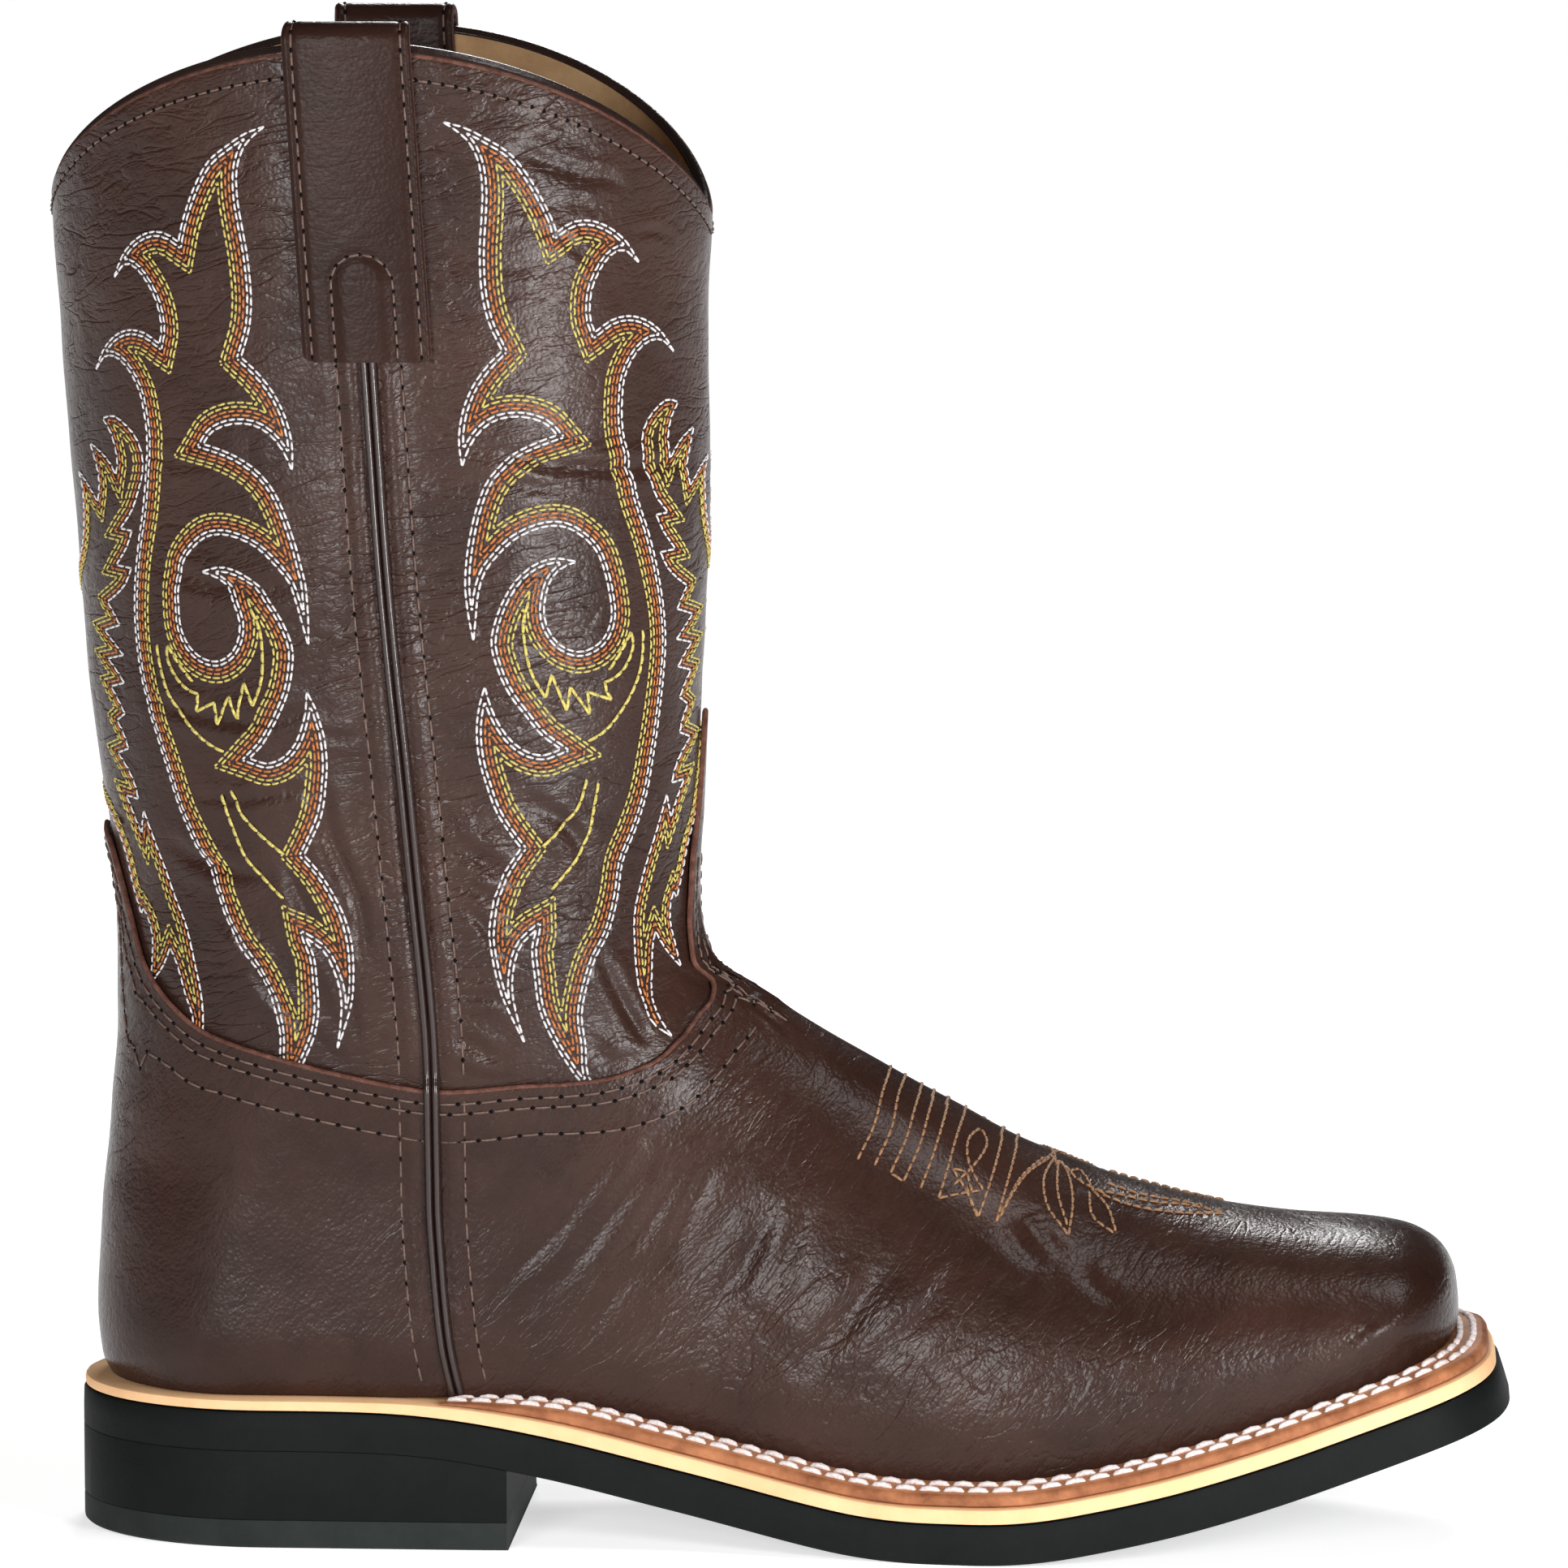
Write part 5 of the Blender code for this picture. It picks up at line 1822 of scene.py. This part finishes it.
def build_seams():
    """Stitch the rows along the top line, the side seams, the pull straps and the collar in brown thread."""
    rows = []
    for distance, reach in TOP_ROWS:
        for low_turn, high_turn in ((0.0, reach), (2 - reach, 2.0)):
            points, normal, low = edge_row(distance, low_turn, high_turn, 900)
            offset = leather_offset(points, low, top_line(np.linspace(low_turn, high_turn, 900)))
            path = points + normal * (UPPER_PROUD + offset + THREAD_LIFT)[:, None]
            rows.append(stitch_row(path, normal, SEAM_PITCH, 0.82))
    on_upper = (seam_foot() + 0.003, upper_peak() - 0.001, UPPER_PROUD)
    on_shaft = (upper_peak() + 0.003, collar_peak() - 0.004, 0.0)
    for side in (0, 1):
        for offset_x in (-SEAM_ROW, SEAM_ROW):
            for low, high, proud in (on_upper, on_shaft):
                z = np.linspace(low, high, 400)
                x = seam_x(z) + offset_x
                base = on_side(x, z, side, np.zeros(len(z)))
                lift = proud + relief(base) + THREAD_LIFT
                path = on_side(x, z, side, lift)
                above = on_side(x, z, side, lift + 0.001)
                rows.append(stitch_row(path, unit(above - path), SEAM_PITCH, 0.82))
        rows += strap_rows(side)
    turn = np.linspace(0, 2, 1400)
    share = np.full(turn.shape, COLLAR_ROW)
    points = skin(turn, share)
    around = skin(turn + 0.003, share) - skin(turn - 0.003, share)
    normal = unit(np.cross(around, skin(turn, share + 0.003) - skin(turn, share - 0.003)))
    for depth, outward in ((-0.0001, normal), (LINING_FACE, -normal)):
        rows.append(stitch_row(points - normal * depth, outward, COLLAR_PITCH, 0.80))
    add_thread("seam_stitches", rows, SEAM_WIDTH, SEAM_RISE, BROWN_THREAD)
    # Painted shade at the needle holes: near-black lenses between the stitches that stand for the shadow in
    # each hole
    add_hole_shades("hole_shade_lenses", rows)


def nodes_of(name):
    """Return a new material with its node tree, its shader and its object coordinates."""
    finish = bpy.data.materials.new(name)
    finish.use_nodes = True
    tree = finish.node_tree
    shader = tree.nodes["Principled BSDF"]
    where = tree.nodes.new("ShaderNodeTexCoord").outputs["Object"]
    return finish, tree, shader, where


def texture(tree, kind, where, **values):
    """Add a texture node with values for its sockets."""
    node = tree.nodes.new(kind)
    tree.links.new(where, node.inputs["Vector"])
    for socket, value in values.items():
        node.inputs[socket].default_value = value
    return node


def stretched(tree, where, turn, scale):
    """Return coordinates turned and then scaled, for grain that runs one way."""
    for socket, value in (("Rotation", turn), ("Scale", scale)):
        mapping = tree.nodes.new("ShaderNodeMapping")
        mapping.inputs[socket].default_value = value
        tree.links.new(where, mapping.inputs["Vector"])
        where = mapping.outputs["Vector"]
    return where


def valleys(tree, factor, width):
    """Return a height that is 1, but falls to 0 along the lines where a noise passes its middle."""
    middle = tree.nodes.new("ShaderNodeMath")
    middle.operation = "SUBTRACT"
    middle.inputs[1].default_value = 0.5
    tree.links.new(factor, middle.inputs[0])
    size = tree.nodes.new("ShaderNodeMath")
    size.operation = "ABSOLUTE"
    tree.links.new(middle.outputs["Value"], size.inputs[0])
    slope = tree.nodes.new("ShaderNodeMapRange")
    slope.interpolation_type = "SMOOTHERSTEP"
    slope.inputs["From Min"].default_value = -width
    slope.inputs["From Max"].default_value = width
    tree.links.new(size.outputs["Value"], slope.inputs["Value"])
    return slope.outputs["Result"]


def ramp_colours(tree, factor, *stops):
    """Return a colour that follows a factor through stops of (place, colour)."""
    node = tree.nodes.new("ShaderNodeValToRGB")
    band = node.color_ramp
    while len(band.elements) < len(stops):
        band.elements.new(0.5)
    for element, (place, colour) in zip(band.elements, stops):
        element.position = place
        element.color = (*colour, 1)
    tree.links.new(factor, node.inputs["Fac"])
    return node.outputs["Color"]


def spread(tree, factor, low, high):
    """Return a factor of 0 to 1 moved into a range."""
    node = tree.nodes.new("ShaderNodeMapRange")
    node.inputs["To Min"].default_value = low
    node.inputs["To Max"].default_value = high
    tree.links.new(factor, node.inputs["Value"])
    return node.outputs["Result"]


def bump(tree, height, strength, distance, below=None):
    """Return a bumped normal, on top of another where one is given."""
    node = tree.nodes.new("ShaderNodeBump")
    node.inputs["Distance"].default_value = distance
    if isinstance(strength, float):
        node.inputs["Strength"].default_value = strength
    else:
        tree.links.new(strength, node.inputs["Strength"])
    tree.links.new(height, node.inputs["Height"])
    if below is not None:
        tree.links.new(below, node.inputs["Normal"])
    return node.outputs["Normal"]


def leather(name, dark, light, gloss, grain, wrinkle, lie=0.0):
    """Return smooth dyed leather with pores, grain, creases that lie one way and a mottled colour.

    gloss is the roughness and the specular level, grain and wrinkle are heights, lie turns the creases.
    """
    roughness, specular = gloss
    finish, tree, shader, where = nodes_of(name)
    cloud = texture(tree, "ShaderNodeTexNoise", where, Scale=22.0, Detail=8.0, Roughness=0.66)
    colour = ramp_colours(tree, cloud.outputs["Fac"], (0.32, dark), (0.70, light))
    tree.links.new(colour, shader.inputs["Base Color"])
    streak_where = stretched(tree, where, (0, lie, 0), (330, 720, 720))
    streaks = texture(tree, "ShaderNodeTexNoise", streak_where, Scale=1.0, Detail=3.0, Roughness=0.6)
    sheen = spread(tree, streaks.outputs["Fac"], roughness - 0.12, roughness + 0.12)
    tree.links.new(sheen, shader.inputs["Roughness"])
    pores = texture(tree, "ShaderNodeTexVoronoi", where, Scale=1150.0)
    zones = texture(tree, "ShaderNodeTexNoise", where, Scale=17.0, Detail=1.0)
    amount = spread(tree, zones.outputs["Fac"], -0.7, 1.7)
    folds = texture(tree, "ShaderNodeTexNoise", where, Scale=45.0, Detail=2.0, Roughness=0.5, Distortion=0.6)
    normal = bump(tree, folds.outputs["Fac"], 1.0, wrinkle * 3.0)
    lines_look = {"Scale": 1.0, "Detail": 2.0, "Roughness": 0.5, "Distortion": 0.7}
    for along, across, depth in ((55, 170, 1.0), (130, 420, 0.45)):
        line_where = stretched(tree, where, (0, lie, 0), (along, along, across))
        lines = texture(tree, "ShaderNodeTexNoise", line_where, **lines_look)
        normal = bump(tree, valleys(tree, lines.outputs["Fac"], 0.07), amount, wrinkle * depth, normal)
    normal = bump(tree, streaks.outputs["Fac"], 1.0, grain, normal)
    normal = bump(tree, pores.outputs["Distance"], 1.0, grain * 0.4, normal)
    tree.links.new(normal, shader.inputs["Normal"])
    shader.inputs["Specular IOR Level"].default_value = specular
    return finish


def matte(name, dark, light, roughness, scale, grain):
    """Return a dull material with mottled colour: suede, cut leather edges or rubber."""
    finish, tree, shader, where = nodes_of(name)
    cloud = texture(tree, "ShaderNodeTexNoise", where, Scale=scale, Detail=6.0, Roughness=0.65)
    colour = ramp_colours(tree, cloud.outputs["Fac"], (0.32, dark), (0.7, light))
    tree.links.new(colour, shader.inputs["Base Color"])
    fine = texture(tree, "ShaderNodeTexNoise", where, Scale=scale * 14, Detail=4.0, Roughness=0.7)
    dullness = spread(tree, fine.outputs["Fac"], roughness - 0.08, roughness + 0.08)
    tree.links.new(dullness, shader.inputs["Roughness"])
    tree.links.new(bump(tree, fine.outputs["Fac"], grain, 0.0003), shader.inputs["Normal"])
    shader.inputs["Specular IOR Level"].default_value = 0.13
    return finish


def thread(name, dark, light):
    """Return twisted thread with fine strands and a little gloss."""
    finish, tree, shader, where = nodes_of(name)
    strands = texture(tree, "ShaderNodeTexNoise", where, Scale=1800.0, Detail=3.0, Roughness=0.6)
    colour = ramp_colours(tree, strands.outputs["Fac"], (0.3, dark), (0.65, light))
    tree.links.new(colour, shader.inputs["Base Color"])
    tree.links.new(bump(tree, strands.outputs["Fac"], 0.5, 0.0002), shader.inputs["Normal"])
    shader.inputs["Roughness"].default_value = 0.55
    shader.inputs["Sheen Weight"].default_value = 0.1
    return finish


def build_studio():
    """Add the pale floor, the soft studio lights and the camera."""
    mesh = bpy.data.meshes.new("floor")
    reach = 40.0
    corners = [(-reach, -reach, 0), (reach, -reach, 0), (reach, reach, 0), (-reach, reach, 0)]
    mesh.from_pydata(corners, [], [[0, 1, 2, 3]])
    floor = bpy.data.objects.new("floor", mesh)
    bpy.context.scene.collection.objects.link(floor)
    finish, tree, shader, where = nodes_of("floor")
    away = tree.nodes.new("ShaderNodeVectorMath")
    away.operation = "LENGTH"
    tree.links.new(where, away.inputs[0])
    glow = tree.nodes.new("ShaderNodeMapRange")
    for socket, value in zip(("From Min", "From Max", "To Min", "To Max"), GLOW_REACH + GLOW_STRENGTH):
        glow.inputs[socket].default_value = value
    tree.links.new(away.outputs["Value"], glow.inputs["Value"])
    tree.links.new(glow.outputs["Result"], shader.inputs["Emission Strength"])
    shader.inputs["Base Color"].default_value = (0.93, 0.93, 0.93, 1)
    shader.inputs["Roughness"].default_value = 0.9
    shader.inputs["Emission Color"].default_value = (1, 1, 1, 1)
    mesh.materials.append(finish)
    world = bpy.data.worlds.new("studio")
    world.use_nodes = True
    world.node_tree.nodes["Background"].inputs["Color"].default_value = (1, 1, 1, 1)
    world.node_tree.nodes["Background"].inputs["Strength"].default_value = 0.04
    bpy.context.scene.world = world
    for name, place, size, power in LIGHTS:
        light = bpy.data.lights.new(name, "AREA")
        light.energy = power
        light.size = size
        lamp = bpy.data.objects.new(name, light)
        lamp.location = place
        aim = Vector(CAMERA_TARGET - np.array(place))
        lamp.rotation_euler = aim.to_track_quat("-Z", "Y").to_euler()
        bpy.context.scene.collection.objects.link(lamp)
    lens = bpy.data.cameras.new("camera")
    lens.sensor_width = SENSOR
    lens.lens = SENSOR * PHOTO_FOCUS / PHOTO_SIZE
    camera = bpy.data.objects.new("camera", lens)
    stand, _ = photo_rays([[0, 0]])
    camera.location = stand - [HEEL_LENGTH / 2, 0, 0]
    camera.rotation_euler = (math.pi / 2 - CAMERA_ELEVATION, 0, CAMERA_AZIMUTH)
    bpy.context.scene.collection.objects.link(camera)
    bpy.context.scene.camera = camera
    bpy.context.scene.view_settings.view_transform = "Standard"


build_studio()

DARK_BROWN = (0.019, 0.0078, 0.0054)
LIGHT_BROWN = (0.047, 0.0205, 0.0145)
LEATHER = leather("shaft_leather", DARK_BROWN, LIGHT_BROWN, (0.30, 0.25), 0.00014, 0.00040, 0.25)
VAMP_LEATHER = leather("vamp_leather", DARK_BROWN, LIGHT_BROWN, (0.28, 0.22), 0.00013, 0.00022, 0.85)
STRAP_DARK = (0.018, 0.0074, 0.0052)
STRAP_LIGHT = (0.031, 0.0130, 0.0094)
STRAP_LEATHER = leather("strap_leather", STRAP_DARK, STRAP_LIGHT, (0.34, 0.10), 0.00012, 0.00006)
STRAP_EDGE = matte("strap_edge", (0.045, 0.020, 0.016), (0.105, 0.050, 0.040), 0.6, 300.0, 0.5)
TRIM_DARK = (0.016, 0.0085, 0.0070)
TRIM_LIGHT = (0.026, 0.0140, 0.0115)
TRIM = leather("trim_leather", TRIM_DARK, TRIM_LIGHT, (0.26, 0.40), 0.00008, 0.00002)
PIPING_DARK = (0.016, 0.0080, 0.0064)
PIPING_LIGHT = (0.028, 0.0140, 0.0112)
PIPING = leather("piping_leather", PIPING_DARK, PIPING_LIGHT, (0.22, 0.60), 0.00006, 0.00002)
RAW_EDGE = matte("raw_edge", (0.07, 0.028, 0.020), (0.21, 0.090, 0.065), 0.8, 420.0, 0.8)
LINING = matte("lining_leather", (0.38, 0.22, 0.11), (0.56, 0.36, 0.19), 0.85, 60.0, 0.5)
WELT_EDGE = matte("welt_edge", (0.16, 0.050, 0.020), (0.48, 0.19, 0.085), 0.5, 120.0, 0.4)
WELT_TOP = matte("welt_top", (0.30, 0.12, 0.055), (0.50, 0.22, 0.105), 0.5, 120.0, 0.3)
MIDSOLE = matte("midsole_edge", (0.84, 0.49, 0.25), (0.93, 0.58, 0.32), 0.65, 90.0, 0.15)
OUTSOLE = matte("outsole_rubber", (0.003, 0.0042, 0.0039), (0.0050, 0.0066, 0.0062), 0.62, 60.0, 0.25)
TOP_LIFT = matte("top_lift_rubber", (0.014, 0.0172, 0.0163), (0.024, 0.0285, 0.0272), 0.68, 60.0, 0.25)
WHITE_THREAD = thread("white_thread", (0.42, 0.40, 0.41), (0.80, 0.78, 0.79))
ORANGE_THREAD = thread("orange_thread", (0.22, 0.050, 0.008), (0.62, 0.20, 0.035))
YELLOW_THREAD = thread("yellow_thread", (0.28, 0.22, 0.045), (0.66, 0.55, 0.14))
BROWN_THREAD = thread("brown_thread", (0.060, 0.033, 0.024), (0.155, 0.093, 0.070))
TOE_THREAD = thread("toe_thread", (0.12, 0.055, 0.022), (0.34, 0.17, 0.075))
WELT_THREAD_FINISH = thread("welt_thread", (0.58, 0.46, 0.44), (0.86, 0.78, 0.76))
# Near-black painted shade for the needle holes, standing for the shadow inside them
HOLE_SHADE = matte("hole_shade", (0.0015, 0.001, 0.001), (0.003, 0.002, 0.002), 0.9, 300.0, 0.1)

CREASE_LINES = crease_lines()
VAMP_GRID = vamp_grid()
SECTIONS = Sections(0.078, 0.330, 85)

build_sole()
build_welt()
build_upper()
build_shaft()
build_lining()
build_insole()
build_binding()
for side_index, side_label in enumerate(("lateral", "medial")):
    build_piping(side_label, side_index)
    build_strap(side_label, side_index)
build_seams()
build_toe_stitching()
build_fancy_stitching()
